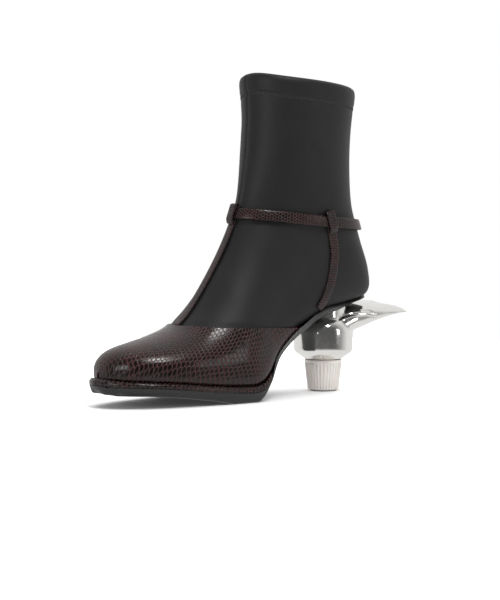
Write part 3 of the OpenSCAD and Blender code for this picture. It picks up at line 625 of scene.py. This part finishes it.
def pulls(points):
    """Faint pulls across the instep and the ankle, in millimetres."""
    x, y, z = np.moveaxis(points, -1, 0)
    fold = np.sin((z - 0.45 * y) * 0.23 + 2.2 * np.sin(x * 0.07 + z * 0.02))
    near = np.exp(-(((z - 112) / 30) ** 2)) * smooth((z - 60) / 20)
    return 0.28 * near * fold * (0.5 + 0.5 * np.sin(x * 0.11 + y * 0.05))


def sock_half(name, side):
    share = np.linspace(1, 0, 73) if side > 0 else np.linspace(0, 1, 73)
    u0 = crossing(side * 152 * share, sock_level, VAMP_SLOPE)
    knee = TOP - 0.62
    t = np.concatenate([np.linspace(0, 1, 130), np.linspace(1, 2, 61)[1:]])[:, None]
    u = np.where(t <= 1, u0 + (knee - u0) * t, knee + (TOP - knee) * (t - 1))
    phi = side * turned_under(u) * share[None]
    base = skin(u, phi)
    below = np.linalg.norm(base - skin(TOP, side * 180 * share)[None], axis=2)
    from_front = np.abs(base[..., 0])
    seam = 0.38 * np.exp(-((from_front / 1.0) ** 2)) * np.where(np.abs(phi) < 90, 1, smooth((u - 14.3) / 0.4))
    hem = 0.32 * smooth((HEM + 0.5 - below) / 0.8)
    groove = 0.3 * np.exp(-(((below - HEM - 0.3) / 0.5) ** 2))
    groove = groove + 0.16 * np.exp(-(((below - HEM - COVER) / 0.9) ** 2))
    pressed = 0.45 * smooth((vamp_level + 5 - base[..., 2] - VAMP_SLOPE * base[..., 1]) / 4)
    free = smooth((below - 20) / 20) * smooth((u - u0) / 1.2)
    dip = roll(u) + pressed + seam + groove - hem - pulls(base) * free
    outer = skin(u, phi, dip)
    half = SOCK_T / 2
    over = [
        skin(TOP, side * 180 * share, dip[-1] + half - half * math.sin(a)) + [0, 0, 0.5 * math.cos(a)]
        for a in np.linspace(math.pi / 2, -math.pi / 2, 7)[1:-1]
    ]
    inner = skin(u[::-1], phi[::-1], SOCK_T + (roll(u) + pressed)[::-1])
    grid = np.concatenate([outer, np.array(over), inner])
    u_all = np.concatenate([u, np.repeat(u[-1:], len(over), 0), u[::-1]])
    flat = np.stack([around_foot(grid, 72 if side > 0 else 0), along_foot(u_all)], -1)
    return shell(name, grid, flat, SOCK)


for name, side, node in (("sock_outer_half", 1, "sock_lateral"), ("sock_inner_half", -1, "sock_medial")):
    half_sock = sock_half(name, side)
    print(name, round(facing_out(half_sock) * 1e6, 1), "cm3")
    on_boot(half_sock, "sock", node)

# %% [markdown]
# ## Pieces that keep their CAD shape
#
# Many pieces already have the right shape, only with hard edges and flat facets. A copy of the CAD mesh
# has its loose triangles merged and paired into quads, and then a subdivision surface rounds it, as
# sanding rounds a cut edge. The flat coordinates come from a rule for each piece, because a strap's
# scales run along the strap.


# %% Rounded copies
def rounded_copy(node, name, finish, levels=1, lay=None, crease_angle=None, bevel=0.0):
    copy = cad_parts[node].data.copy()
    work = bmesh.new()
    work.from_mesh(copy)
    bmesh.ops.remove_doubles(work, verts=work.verts, dist=1e-6)
    bmesh.ops.join_triangles(
        work, faces=work.faces, cmp_seam=False, cmp_sharp=False, cmp_uvs=False, cmp_vcols=False,
        cmp_materials=False, angle_face_threshold=math.radians(40), angle_shape_threshold=math.radians(180),
    )
    bmesh.ops.recalc_face_normals(work, faces=work.faces)
    mesh = bpy.data.meshes.new(name)
    work.to_mesh(mesh)
    work.free()
    bpy.data.meshes.remove(copy)
    mesh.materials.clear()
    mesh.materials.append(finish)
    piece = bpy.data.objects.new(name, mesh)
    bpy.context.scene.collection.objects.link(piece)
    for face in mesh.polygons:
        face.use_smooth = True
        face.material_index = 0
    if bevel:
        edge = piece.modifiers.new("edge", "BEVEL")
        edge.width, edge.segments, edge.limit_method = bevel, 3, "ANGLE"
        edge.angle_limit = math.radians(crease_angle or 35)
        edge.harden_normals = True
    if levels:
        round_off = piece.modifiers.new("round", "SUBSURF")
        round_off.levels = round_off.render_levels = levels
    bake(piece)
    if lay:
        mesh = piece.data
        co = np.empty(len(mesh.vertices) * 3)
        mesh.vertices.foreach_get("co", co)
        flat = lay((co.reshape(-1, 3) - np.array(HEEL)) / MM)
        layer = mesh.uv_layers.get("laid") or mesh.uv_layers.new(name="laid")
        index = np.empty(len(mesh.loops), int)
        mesh.loops.foreach_get("vertex_index", index)
        layer.data.foreach_set("uv", flat[index].ravel())
    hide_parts(node)
    return piece


def bake(piece):
    """Applies a piece's modifiers, so that it is a plain mesh."""
    graph = bpy.context.evaluated_depsgraph_get()
    mesh = bpy.data.meshes.new_from_object(
        piece.evaluated_get(graph), preserve_all_data_layers=True, depsgraph=graph
    )
    piece.modifiers.clear()
    old, piece.data = piece.data, mesh
    mesh.name = piece.name
    bpy.data.meshes.remove(old)
    return piece


print("copies are merged, paired and rounded")


# %% Straps and keeper
def lay_upright(points):
    """For a strap that climbs: across it, and up it."""
    return np.stack([points[:, 1] + points[:, 0] * 0.3, points[:, 2]], -1)


def lay_instep(points):
    return np.stack([points[:, 0], np.hypot(points[:, 1] + 130, points[:, 2] - 50)], -1)


def lay_round(points):
    """For a strap that goes round the ankle."""
    angle = np.arctan2(points[:, 0] / 31, (points[:, 1] + 28) / 50)
    return np.stack([points[:, 2], angle * 42], -1)


for node, name, lay in (
    ("instep_strap", "strap_instep", lay_instep),
    ("lateral_strap", "strap_outer", lay_upright),
    ("medial_strap", "strap_inner", lay_upright),
    ("ankle_strap", "strap_ankle", lay_round),
):
    strap = rounded_copy(node, name, STRAP_SNAKE, 1, lay)
    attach(strap, "boot")
    print(name, len(strap.data.polygons), "faces")
keeper = rounded_copy("strap_keeper", "keeper_loop", STRAP_SNAKE, 0, lay_round, 30, 0.00018)
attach(keeper, "keeper")

# %% [markdown]
# ## The sole
#
# The sole follows the last from below. Under the forefoot it spreads past the upper as a flat tread, in
# the waist it hugs the foot, and at the seat it narrows to a point over the heel. Three short tables say
# how far below the last it lies, how wide its arc is and how far it spreads. The outsole and the rand
# on top of it share them, so that they meet along one line.

# %% Shape of the sole
BELOW = np.array(
    [  # section, outsole's top, outsole's underside
        (0, 3.7, 9.7), (2, 3.7, 9.7), (4, 3.7, 9.4), (5, 3.7, 9.6), (6, 3.8, 10.2), (7, 3.8, 12.4),
        (8, 3.8, 12.2), (8.4, 3.6, 9.2), (8.8, 2.8, 5.8), (9.3, 2.1, 4.1), (9.8, 1.8, 3.6), (11.3, 1.8, 3.6),
        (11.8, 0.6, 2.4),
        (14.2, 0.6, 2.4),
    ]
)
ARC = np.array(
    [
        (0, 45), (7, 45), (8, 44), (9, 46), (12.2, 46), (12.5, 42), (12.9, 36), (13.4, 27), (13.75, 20),
        (13.95, 12), (14.1, 5),
    ]
)
FLARE = np.array([(0, 1), (8.3, 1), (8.8, 0.75), (9.2, 0.35), (9.6, 0), (14.2, 0)])
RAND_OUT = 3.6


def table(rows, u, column=1):
    """A value from a table, with its corners rounded."""
    return np.mean([np.interp(u + k, rows[:, 0], rows[:, column]) for k in (-0.1, -0.04, 0.04, 0.1)], axis=0)


def unit(v):
    return v / np.linalg.norm(v, axis=-1, keepdims=True)


def sole_edge(u, side):
    return skin(u, side * (180 - table(ARC, u)), -VAMP_T - 0.35)


def outwards(u, side):
    """The level direction away from the foot at the sole's edge."""
    way = sole_edge(u + 0.12, side) - sole_edge(np.maximum(u - 0.12, 0), side)
    flat = np.stack([way[..., 1] * side, -way[..., 0] * side, 0 * u], -1)
    return unit(flat)


def rise(u):
    s = section(u)
    return unit(np.stack([0 * u, s[..., 0] - s[..., 2], s[..., 1] - s[..., 3]], -1))


def under(u, w, down, reach):
    """A point of the sole: w runs across it from -1 to 1, down is the distance below the last."""
    u, w, down, reach = np.broadcast_arrays(u, w, down, reach)
    side = np.where(w < 0, -1, 1)
    spread = table(FLARE, u)[..., None]
    edge = sole_edge(u, side) + outwards(u, side) * reach[..., None]
    centre = skin(u, 180) - rise(u) * down[..., None]
    share = np.maximum(w * w, smooth(1 - u / 0.8))
    flat = np.stack(
        [np.abs(w) * edge[..., 0], centre[..., 1] + (edge[..., 1] - centre[..., 1]) * share, centre[..., 2]],
        -1,
    )
    hugging = skin(u, 180 - w * table(ARC, u), -down)
    return hugging * (1 - spread) + flat * spread


sole_ends = (under(0.0, 0.0, 9.7, RAND_OUT).round(1), under(14.08, 0.0, 2.4, 0).round(1))
print("the sole reaches from", sole_ends[0], "to", sole_ends[1])

# %% Outsole
sole_u = np.concatenate(
    [np.linspace(0, 1, 22) ** 1.6, np.linspace(1, 8, 50)[1:], np.linspace(8, 14.08, 70)[1:]]
)
TOE_LONG = 9
TOE_TALL = 15.5
TOE_PASSES = 25
edge_w = [0.87, 0.91, 0.94, 0.965, 0.985, 1]
sole_w = np.concatenate([[-w for w in reversed(edge_w)], np.linspace(-0.8, 0.8, 17), edge_w])
U, W = np.meshgrid(sole_u, sole_w, indexing="ij")
out_w = np.abs(W)
turned = np.clip((out_w - 0.9) / 0.1, 0, 1)
nose = smooth(1 - U / 0.9)
tuck_in = np.maximum(1.7 * turned**2, 1.7 * nose)
lift = np.maximum(2.9 * (1 - np.sqrt(1 - turned**2)), 2.9 * nose) * table(FLARE, U)
low = under(U, W, table(BELOW, U, 2), RAND_OUT - tuck_in)
low[..., 2] = np.maximum(low[..., 2], 0) + lift
high = under(U, W, table(BELOW, U, 1), np.full_like(U, RAND_OUT + 0.2))
rows = len(sole_u)
cols = len(sole_w)
points = np.concatenate([low.reshape(-1, 3), high.reshape(-1, 3)])
at = lambda layer, r, c: layer * rows * cols + r * cols + c
cells = [(r, c) for r in range(rows - 1) for c in range(cols - 1)]
faces = [(at(0, r, c), at(0, r, c + 1), at(0, r + 1, c + 1), at(0, r + 1, c)) for r, c in cells]
faces += [(at(1, r, c), at(1, r + 1, c), at(1, r + 1, c + 1), at(1, r, c + 1)) for r, c in cells]
for r in range(rows - 1):
    faces += [(at(0, r, 0), at(0, r + 1, 0), at(1, r + 1, 0), at(1, r, 0))]
    faces += [(at(0, r + 1, cols - 1), at(0, r, cols - 1), at(1, r, cols - 1), at(1, r + 1, cols - 1))]
for c in range(cols - 1):
    faces += [(at(0, 0, c + 1), at(0, 0, c), at(1, 0, c), at(1, 0, c + 1))]
    faces += [(at(0, rows - 1, c), at(0, rows - 1, c + 1), at(1, rows - 1, c + 1), at(1, rows - 1, c))]
outsole = as_object("outsole_cut", points, faces, None, RUBBER)


def sharpen(piece, angle):
    """Marks edges sharper than an angle, so that they shade as edges."""
    piece.data.set_sharp_from_angle(angle=math.radians(angle))


work = bmesh.new()
work.from_mesh(outsole.data)
bmesh.ops.remove_doubles(work, verts=work.verts, dist=2e-6)
bmesh.ops.dissolve_degenerate(work, dist=1e-6, edges=work.edges)
# The lower edge has a spike at the toe. Its cause was not found, so the edge is smoothed there.
foremost = min(v.co.y for v in work.verts)
toe_edge = [v for v in work.verts if v.co.y < foremost + TOE_LONG * MM and v.co.z < TOE_TALL * MM]
for _ in range(TOE_PASSES):
    bmesh.ops.smooth_vert(work, verts=toe_edge, factor=0.5, use_axis_x=True, use_axis_y=True, use_axis_z=True)
work.to_mesh(outsole.data)
work.free()
print("outsole", round(facing_out(outsole) * 1e6, 1), "cm3")
sharpen(outsole, 40)
on_boot(outsole, "sole", "outsole")

# %% Rand
RAND_U = np.concatenate([np.linspace(0, 1, 26) ** 1.6, np.linspace(1, 9.1, 90)[1:]])


def rand_rings(side):
    u = RAND_U
    spread = table(FLARE, u)[:, None]
    away = outwards(u, side)
    edge = sole_edge(u, side)
    down = table(BELOW, u, 1) - 0.22
    hug = skin(u, side * (180 - table(ARC, u) + 8), -VAMP_T - 0.8)
    foot = under(u, float(side), down, RAND_OUT + 0.1)
    inner = under(u, side * 0.9, down, RAND_OUT + 0.1)
    deep = np.stack([hug[:, 0], hug[:, 1], foot[:, 2]], -1)
    inner = deep + (inner - deep) * smooth((u - 1) / 2)[:, None]
    crown = edge + away * (RAND_OUT - 1.1) * spread + [0, 0, 0.35]
    rings = [edge + away * 0.1, edge + away * (RAND_OUT * 0.45) * spread + [0, 0, 0.4], crown]
    for t in np.linspace(0, 1, 9)[1:]:
        level = crown + (foot - crown) * t
        swell = 0.55 * math.sin(math.pi * min(t * 1.15, 1)) + 0.55 * (1 - (1 - t) ** 3) * (1 - t)
        bulge = away * spread * swell
        rings.append(level + bulge)
    return np.stack(rings + [inner, hug], 1)


inner_side, outer_side = rand_rings(-1)[::-1], rand_rings(1)
rings = np.concatenate([inner_side, outer_side])
count = rings.shape[1]
faces = [
    (i * count + k, i * count + (k + 1) % count, (i + 1) * count + (k + 1) % count, (i + 1) * count + k)
    for i in range(len(rings) - 1)
    for k in range(count)
]
faces += [list(range(count)), [(len(rings) - 1) * count + k for k in reversed(range(count))]]
middle_line = rings[:, 4]
run = np.concatenate([[0], np.cumsum(np.linalg.norm(np.diff(middle_line, axis=0), axis=1))])
girth = np.concatenate([[0], np.cumsum(np.linalg.norm(np.diff(rings[60], axis=0), axis=1))])
flat = np.stack(np.broadcast_arrays(girth[None, :], run[:, None]), -1).reshape(-1, 2)
rand = as_object("rand_strip", rings.reshape(-1, 3), faces, flat, SNAKE)
print("rand", round(facing_out(rand) * 1e6, 1), "cm3,", round(run[-1]), "mm long")
sharpen(rand, 50)
on_boot(rand, "snake", "rand")

# %% [markdown]
# ## The heel
#
# The heel is a sculpture: a squeeze tube, folded back under the seat and pressed flat at its end, standing on
# its ribbed cap. The tube is one plated moulding, so its round shoulder, the fold and the pressed end have
# to flow into each other. Building it as overlapping forms, melting them together on a fine grid and
# smoothing the result gives that flow. The creases are then pressed in along a few lines.

# %% Tube
TUBE_R = 22.7
SEAT = 62.2
CAP_H = 24.0
CAP_R = 14.4
DOME_R = 12
tail_rows = np.array(
    [  # y, middle z, half width, half thickness, turn about its length
        (-4, 45, 19, 12, 0), (6, 50.5, 21, 11.5, 0), (15, 54.5, 22.2, 10.5, -1), (25, 57.3, 22.8, 9.3, -3),
        (35, 59.5, 23, 7.6, -5), (44, 61, 23, 5.9, -7), (52, 62, 22.8, 4.2, -8.5),
        (59, 62.7, 22.5, 2.6, -9.5),
        (64, 63, 22.4, 1.3, -10.2), (67, 63.1, 22.3, 0.8, -10.4),
    ]
)


def lofted(rings, name):
    """A closed piece through rings of points."""
    count = len(rings[0])
    faces = [
        (i * count + k, i * count + (k + 1) % count, (i + 1) * count + (k + 1) % count, (i + 1) * count + k)
        for i in range(len(rings) - 1)
        for k in range(count)
    ]
    faces += [list(range(count)), [(len(rings) - 1) * count + k for k in reversed(range(count))]]
    piece = as_object(name, np.concatenate(rings), faces)
    facing_out(piece)
    return piece


def tail_ring(y):
    mid, wide, thick, turn = (np.interp(y, tail_rows[:, 0], tail_rows[:, k]) for k in (1, 2, 3, 4))
    a = np.linspace(0, 2 * math.pi, 97)[:-1]
    r = (np.abs(np.cos(a)) ** 2.3 + np.abs(np.sin(a)) ** 2.3) ** (-1 / 2.3)
    x = wide * r * np.cos(a)
    z = thick * r * np.sin(a) + 0.8 * np.sin(np.radians(x * 8)) * smooth((y - 40) / 27)
    t = math.radians(turn)
    turned = [x * math.cos(t) - z * math.sin(t), y + 0 * x, mid + x * math.sin(t) + z * math.cos(t)]
    return np.stack(turned, -1)


def turned_ring(radius, z):
    a = np.linspace(0, 2 * math.pi, 97)[:-1]
    return np.stack([radius * np.cos(a), radius * np.sin(a), z + 0 * a], -1)


bulb_profile = [(9.9, CAP_H - 11.9), (9.9, CAP_H + 0.2)]
bulb_profile += [(CAP_R + 0.3, CAP_H + 0.2), (CAP_R + 0.5, CAP_H + 1.0)]
bulb_profile += [(TUBE_R - 2.2, CAP_H + 4.7), (TUBE_R - 0.7, CAP_H + 5.9), (TUBE_R, CAP_H + 7.7)]
bulb_profile += [
    (TUBE_R - DOME_R + DOME_R * math.cos(math.radians(a)), SEAT - 17 + DOME_R * math.sin(math.radians(a)))
    for a in range(0, 37, 6)
]
bulb_profile += [(17.2, SEAT - 6.4), (16.6, SEAT - 2), (16.4, SEAT + 3)]
bulb = lofted([turned_ring(r, z) for r, z in bulb_profile], "bulb")
tail = lofted([tail_ring(y) for y in np.linspace(-4, 67, 60)], "tail")


def melt(pieces, name, voxel, passes):
    """Joins closed pieces into one skin on a fine grid, and smooths it."""
    joined = bmesh.new()
    for piece in pieces:
        joined.from_mesh(piece.data)
        bpy.data.objects.remove(piece)
    mesh = bpy.data.meshes.new(name)
    joined.to_mesh(mesh)
    joined.free()
    whole = bpy.data.objects.new(name, mesh)
    bpy.context.scene.collection.objects.link(whole)
    grid = whole.modifiers.new("grid", "REMESH")
    grid.mode, grid.voxel_size, grid.use_smooth_shade = "VOXEL", voxel, True
    calm = whole.modifiers.new("calm", "SMOOTH")
    calm.factor, calm.iterations = 0.5, passes
    return bake(whole)


tube = melt([bulb, tail], "heel_tube_skin", 0.0008, 14)
print("tube", len(tube.data.polygons), "faces after melting")

# %% Fit under the sole, and creases
HULL_ROWS = 60
HULL_COLS = 91
HEEL_FRONT = -26  # The fit is for what lies behind this y.
CLEAR = 0.12
U, PHI = np.meshgrid(np.linspace(8, 17, HULL_ROWS), np.linspace(-180, 180, HULL_COLS), indexing="ij")
hull = skin(U, PHI, -0.15).reshape(-1, 3)
corners = [r * HULL_COLS + c for r in range(HULL_ROWS - 1) for c in range(HULL_COLS - 1)]
hull_faces = [(k, k + HULL_COLS, k + HULL_COLS + 1, k + 1) for k in corners]
hull_tree = BVHTree.FromPolygons([Vector(p) * MM + HEEL for p in hull], hull_faces)
sole_tree = BVHTree.FromPolygons(
    [v.co[:] for v in outsole.data.vertices], [p.vertices[:] for p in outsole.data.polygons]
)


CREASES = [  # line of (y, z), depth, width
    ([(2, 56.2), (5, 57.4), (11, 59.0), (26, 58.6), (33, 57.2)], 1.1, 1.1),
    ([(13, 62.0), (21, 61.9), (30, 60.6)], 0.8, 1.0),
]


def crease(points, line, deep, wide):
    """How far a crease along a line of (y, z) presses the side of the tube in."""
    line = np.array(line, dtype=float)
    best = np.full(len(points), 1e9)
    for a, b in zip(line[:-1], line[1:]):
        way = b - a
        t = np.clip(((points[:, 1:] - a) @ way) / (way @ way), 0, 1)
        best = np.minimum(best, np.linalg.norm(points[:, 1:] - (a + t[:, None] * way), axis=1))
    return deep * np.exp(-((best / wide) ** 2))


fitted = np.array([v.co[:] for v in tube.data.vertices]) - np.array(HEEL)
fitted = fitted / MM
facing = np.array([v.normal[:] for v in tube.data.vertices])
sideways = np.abs(facing[:, 0])
press = sum(crease(fitted, line, deep, wide) for line, deep, wide in CREASES) * sideways
soft = np.array([noise.noise(Vector(p) * 0.05) for p in fitted]) * 0.5 * smooth((fitted[:, 1] - 5) / 20)
fitted = fitted - facing * (press + soft)[:, None]
start = [Vector((p[0], p[1], 0)) * MM + HEEL for p in fitted]
for k, p in enumerate(fitted):
    if p[1] > HEEL_FRONT:
        for above in (sole_tree, hull_tree):
            hit = above.ray_cast(start[k], Vector((0, 0, 1)), 0.09)[0]
            if hit is not None:
                p[2] = min(p[2], hit.z / MM - CLEAR)
for vertex, p in zip(tube.data.vertices, fitted):
    vertex.co = Vector(p) * MM + HEEL
tube.data.materials.clear()
tube.data.materials.append(PLATING)
for polygon in tube.data.polygons:
    polygon.use_smooth = True
print("tube", round(facing_out(tube) * 1e6, 1), "cm3, highest", round(fitted[:, 2].max(), 1), "mm")
on_boot(tube, "chrome_tube", "heel_tube")

# %% [markdown]
# The cap is a plain cone with a lip, and a ring of ribs around it. Geometry Nodes set the ribs: a circle is
# resampled to the wanted number of points, and one straight rib stands on each, leaning with the cone.


# %% Trees
def tree(name, sockets):
    """An empty geometry tree with named inputs."""
    made = bpy.data.node_groups.new(name, "GeometryNodeTree")
    made.interface.new_socket("Geometry", in_out="INPUT", socket_type="NodeSocketGeometry")
    made.interface.new_socket("Geometry", in_out="OUTPUT", socket_type="NodeSocketGeometry")
    for label, kind in sockets:
        made.interface.new_socket(label, in_out="INPUT", socket_type="NodeSocket" + kind)
    return made, made.nodes.new("NodeGroupInput"), made.nodes.new("NodeGroupOutput")


def add(made, kind, inputs=None, **settings):
    """A node with its settings, and sockets or values for its inputs by name."""
    n = made.nodes.new(kind)
    for key, value in settings.items():
        setattr(n, key, value)
    for key, value in (inputs or {}).items():
        if isinstance(value, bpy.types.NodeSocket):
            made.links.new(value, n.inputs[key])
        else:
            n.inputs[key].default_value = value
    return n


def grow(piece, made, values):
    """Runs a tree on a piece with these input values and leaves the result as its mesh."""
    modifier = piece.modifiers.new(made.name, "NODES")
    modifier.node_group = made
    for item in made.interface.items_tree:
        if item.in_out == "INPUT" and item.name in values:
            modifier[item.identifier] = values[item.name]
    return bake(piece)


ribs, given, result = tree(
    "ribs", [("Count", "Int"), ("Foot", "Float"), ("Head", "Float"), ("Tall", "Float"), ("Thick", "Float")]
)
half_sum = add(ribs, "ShaderNodeMath", {0: given.outputs["Foot"], 1: given.outputs["Head"]}, operation="ADD")
middle_r = add(ribs, "ShaderNodeMath", {0: half_sum.outputs[0], 1: 0.5}, operation="MULTIPLY")
spread_r = add(
    ribs, "ShaderNodeMath", {0: given.outputs["Head"], 1: given.outputs["Foot"]}, operation="SUBTRACT"
)
lean = add(ribs, "ShaderNodeMath", {0: spread_r.outputs[0], 1: given.outputs["Tall"]}, operation="ARCTAN2")
ring = add(ribs, "GeometryNodeCurvePrimitiveCircle", {"Radius": middle_r.outputs[0]})
places = add(ribs, "GeometryNodeResampleCurve", {"Curve": ring.outputs[0], "Count": given.outputs["Count"]})
along_ring = add(ribs, "GeometryNodeInputTangent")
rod_mesh = add(
    ribs, "GeometryNodeMeshCone",
    {"Vertices": 10, "Side Segments": 1, "Radius Top": given.outputs["Thick"],
     "Radius Bottom": given.outputs["Thick"], "Depth": given.outputs["Tall"]},
)
down = add(ribs, "ShaderNodeMath", {0: given.outputs["Tall"], 1: -0.5}, operation="MULTIPLY")
offset = add(ribs, "ShaderNodeCombineXYZ", {"Z": down.outputs[0]})
lean_by = add(ribs, "ShaderNodeCombineXYZ", {"X": lean.outputs[0]})
centred = add(
    ribs, "GeometryNodeTransform", {"Geometry": rod_mesh.outputs["Mesh"], "Translation": offset.outputs[0]}
)
leaning = add(ribs, "GeometryNodeTransform", {"Geometry": centred.outputs[0], "Rotation": lean_by.outputs[0]})
turn = add(
    ribs, "FunctionNodeAlignEulerToVector", {"Vector": along_ring.outputs[0]}, axis="X", pivot_axis="Z"
)
placed = add(
    ribs, "GeometryNodeInstanceOnPoints",
    {"Points": places.outputs[0], "Instance": leaning.outputs[0], "Rotation": turn.outputs[0]},
)
real = add(ribs, "GeometryNodeRealizeInstances", {"Geometry": placed.outputs[0]})
smooth_ribs = add(ribs, "GeometryNodeSetShadeSmooth", {"Geometry": real.outputs[0], "Shade Smooth": True})
both = add(ribs, "GeometryNodeJoinGeometry")
ribs.links.new(smooth_ribs.outputs[0], both.inputs[0])
ribs.links.new(given.outputs["Geometry"], both.inputs[0])
covered = add(ribs, "GeometryNodeSetMaterial", {"Geometry": both.outputs[0], "Material": CAP})
ribs.links.new(covered.outputs[0], result.inputs[0])

# %% Cap
TIP_T = 1.1
RIBS = 32
RIB_IN = 0.62
foot_r, head_r = 11.75, CAP_R - 0.15
cone_h = CAP_H - 2.4 - TIP_T
profile = [
    (0, TIP_T + 0.1), (foot_r - 0.9, TIP_T + 0.1), (foot_r - 0.55, TIP_T + 0.45), (head_r - 0.6, CAP_H - 2.6),
    (head_r - 0.1, CAP_H - 2.3), (head_r, CAP_H - 1.9), (head_r, CAP_H - 0.3), (head_r - 0.25, CAP_H),
    (0, CAP_H),
]
cap = lofted([turned_ring(max(r, 0.2), z) for r, z in profile], "ribbed_cap")
cap.data.transform(Matrix.Translation(-HEEL - Vector((0, 0, (TIP_T + cone_h / 2) * MM))))
grow(
    cap, ribs,
    {"Count": RIBS, "Foot": (foot_r - RIB_IN) * MM, "Head": (head_r - RIB_IN) * MM, "Tall": cone_h * MM,
     "Thick": 0.78 * MM},
)
cap.data.transform(Matrix.Translation(HEEL + Vector((0, 0, (TIP_T + cone_h / 2) * MM))))
sharpen(cap, 50)
on_boot(cap, "cap", "heel_cap")
print("cap", len(cap.data.polygons), "faces")

# %% Top piece
top_piece = rounded_copy("heel_tip", "top_piece", TIP, 0, None, 35, 0.0003)
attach(top_piece, "boot")

# %% [markdown]
# ## Stitches
#
# Every stitch line is a path laid on a surface, and one tree sets a stitch every so many millimetres along
# it. The stitches lie along the path for a seam, or stand across it for the cover stitch that holds the hem.

# %% Stitch tree
stitching, given, result = tree(
    "stitching", [("Pitch", "Float"), ("Long", "Float"), ("Tall", "Float"), ("Deep", "Float")]
)
path = add(stitching, "GeometryNodeMeshToCurve", {0: given.outputs["Geometry"]})
spaced = add(stitching, "GeometryNodeResampleCurve", {"Curve": path.outputs[0]}, mode="LENGTH")
stitching.links.new(given.outputs["Pitch"], spaced.inputs["Length"])
along_path = add(stitching, "GeometryNodeInputTangent")
bead = add(stitching, "GeometryNodeMeshUVSphere", {"Segments": 8, "Rings": 6, "Radius": 0.5})
size = add(
    stitching, "ShaderNodeCombineXYZ",
    {"X": given.outputs["Long"], "Y": given.outputs["Deep"], "Z": given.outputs["Tall"]},
)
facing_path = add(
    stitching, "FunctionNodeAlignEulerToVector", {"Vector": along_path.outputs[0]},
    axis="X", pivot_axis="AUTO",
)
sewn = add(
    stitching, "GeometryNodeInstanceOnPoints",
    {"Points": spaced.outputs[0], "Instance": bead.outputs["Mesh"], "Rotation": facing_path.outputs[0],
     "Scale": size.outputs[0]},
)
real = add(stitching, "GeometryNodeRealizeInstances", {"Geometry": sewn.outputs[0]})
soft_look = add(stitching, "GeometryNodeSetShadeSmooth", {"Geometry": real.outputs[0], "Shade Smooth": True})
covered = add(stitching, "GeometryNodeSetMaterial", {"Geometry": soft_look.outputs[0], "Material": THREAD})
stitching.links.new(covered.outputs[0], result.inputs[0])


def stitch_line(name, paths, pitch, long, tall, deep):
    """Sews along paths given as points in drawn millimetres."""
    points, edges = [], []
    for one in paths:
        first = len(points)
        points += [Vector(p) * MM + HEEL for p in one]
        edges += [(first + k, first + k + 1) for k in range(len(one) - 1)]
    mesh = bpy.data.meshes.new(name)
    mesh.from_pydata(points, edges, [])
    piece = bpy.data.objects.new(name, mesh)
    bpy.context.scene.collection.objects.link(piece)
    grow(piece, stitching, {"Pitch": pitch * MM, "Long": long * MM, "Tall": tall * MM, "Deep": deep * MM})
    print(name, len(piece.data.polygons) // 48, "stitches")
    return piece


# %% Seams
def below_rim(phi, down):
    """The point of the sock's outside a distance below its rim."""
    u = np.linspace(TOP - 6, TOP, 400)
    column = skin(u, phi)
    gone = np.linalg.norm(column - column[-1], axis=1)
    return float(np.interp(-down, -gone, u))


hem_path = []
for phi in np.linspace(-178, 178, 120):
    hem_path.append(skin(below_rim(phi, HEM + COVER / 2 + 0.35), phi, 0.05))
hem_stitch = stitch_line("hem_stitch", [hem_path], 1.9, 0.45, 2.8, 0.42)
on_boot(hem_stitch, "sock")
front_top = below_rim(0, HEM + COVER + 1.5)
prong_low, prong_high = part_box("buckle_prong")
strap_top = ((prong_low.z + prong_high.z) / 2) / MM + 5.5
front_low = float(np.interp(strap_top, skin(np.linspace(8, TOP, 300), 0)[:, 2], np.linspace(8, TOP, 300)))
rows = []
for side in (-1, 1):
    u = np.linspace(front_top, front_low, 60)
    rows.append([skin(v, side * math.degrees(2.4 / 26), 0.1) for v in u])
front_stitch = stitch_line("front_stitch", rows, 2.6, 1.7, 0.5, 0.42)
on_boot(front_stitch, "sock")
welt = []
for side in (-1, 1):
    u = np.linspace(0.25, 8.3, 120)
    reach = (RAND_OUT * 0.55 * table(FLARE, u))[:, None]
    welt.append(sole_edge(u, side) + outwards(u, side) * reach + [0, 0, 0.42])
welt_stitch = stitch_line("welt_stitch", welt, 3.2, 2.1, 0.5, 0.6)
on_boot(welt_stitch, "snake")

# %% Floor
floor_mesh = bpy.data.meshes.new("floor")
turn = [(0.62 * math.cos(math.radians(a)), 0.62 * math.sin(math.radians(a)), 0) for a in range(0, 360, 3)]
floor_mesh.from_pydata(turn, [], [list(range(len(turn)))])
floor = bpy.data.objects.new("floor", floor_mesh)
bpy.context.scene.collection.objects.link(floor)
paper = Finish("floor_paper")
tooth = paper.noise(paper.place(), 400, 2)
across, deep, _ = paper.split(paper.place())
# Painted light: the floor glows, not at all within 0.1 m of its middle and fully from 0.3 m out, so that it
# reads white away from the boot while the shade near the boot stays.
far = (across.math("POWER", 2) + deep.math("POWER", 2)).math("SQRT").ramp(0.1, 0.3)
floor_mesh.materials.append(
    paper.done(Base_Color=paper.tint(tooth, (0.9, 0.9, 0.9), (0.93, 0.93, 0.93)), Roughness=0.7 + tooth * 0.1,
               Emission_Color=paper.tint(far, (0, 0, 0), (1, 1, 1)), Emission_Strength=0.5)
)
floor.visible_glossy = False

# %% Finishes for the CAD pieces that stay
KEPT = {
    "vamp_lining": LINING, "toe_puff": FELT, "heel_counter": FELT, "counter_lining": LINING,
    "hem_facing": SOCK, "topline_elastic": ELASTIC, "footbed": FOOTBED, "insole_board": BOARD,
    "shank": STEEL, "shank_rivets": STEEL,
    "bottom_filler": CORK, "midsole": CORK, "heel_dowel": STEEL, "heel_screw": STEEL, "heel_nails": STEEL,
    "buckle_frame": BUCKLE, "buckle_prong": BUCKLE,
}
for node, finish in KEPT.items():
    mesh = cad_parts[node].data
    mesh.materials.clear()
    mesh.materials.append(finish)
print(len(KEPT), "CAD pieces keep their shape and get a finish")
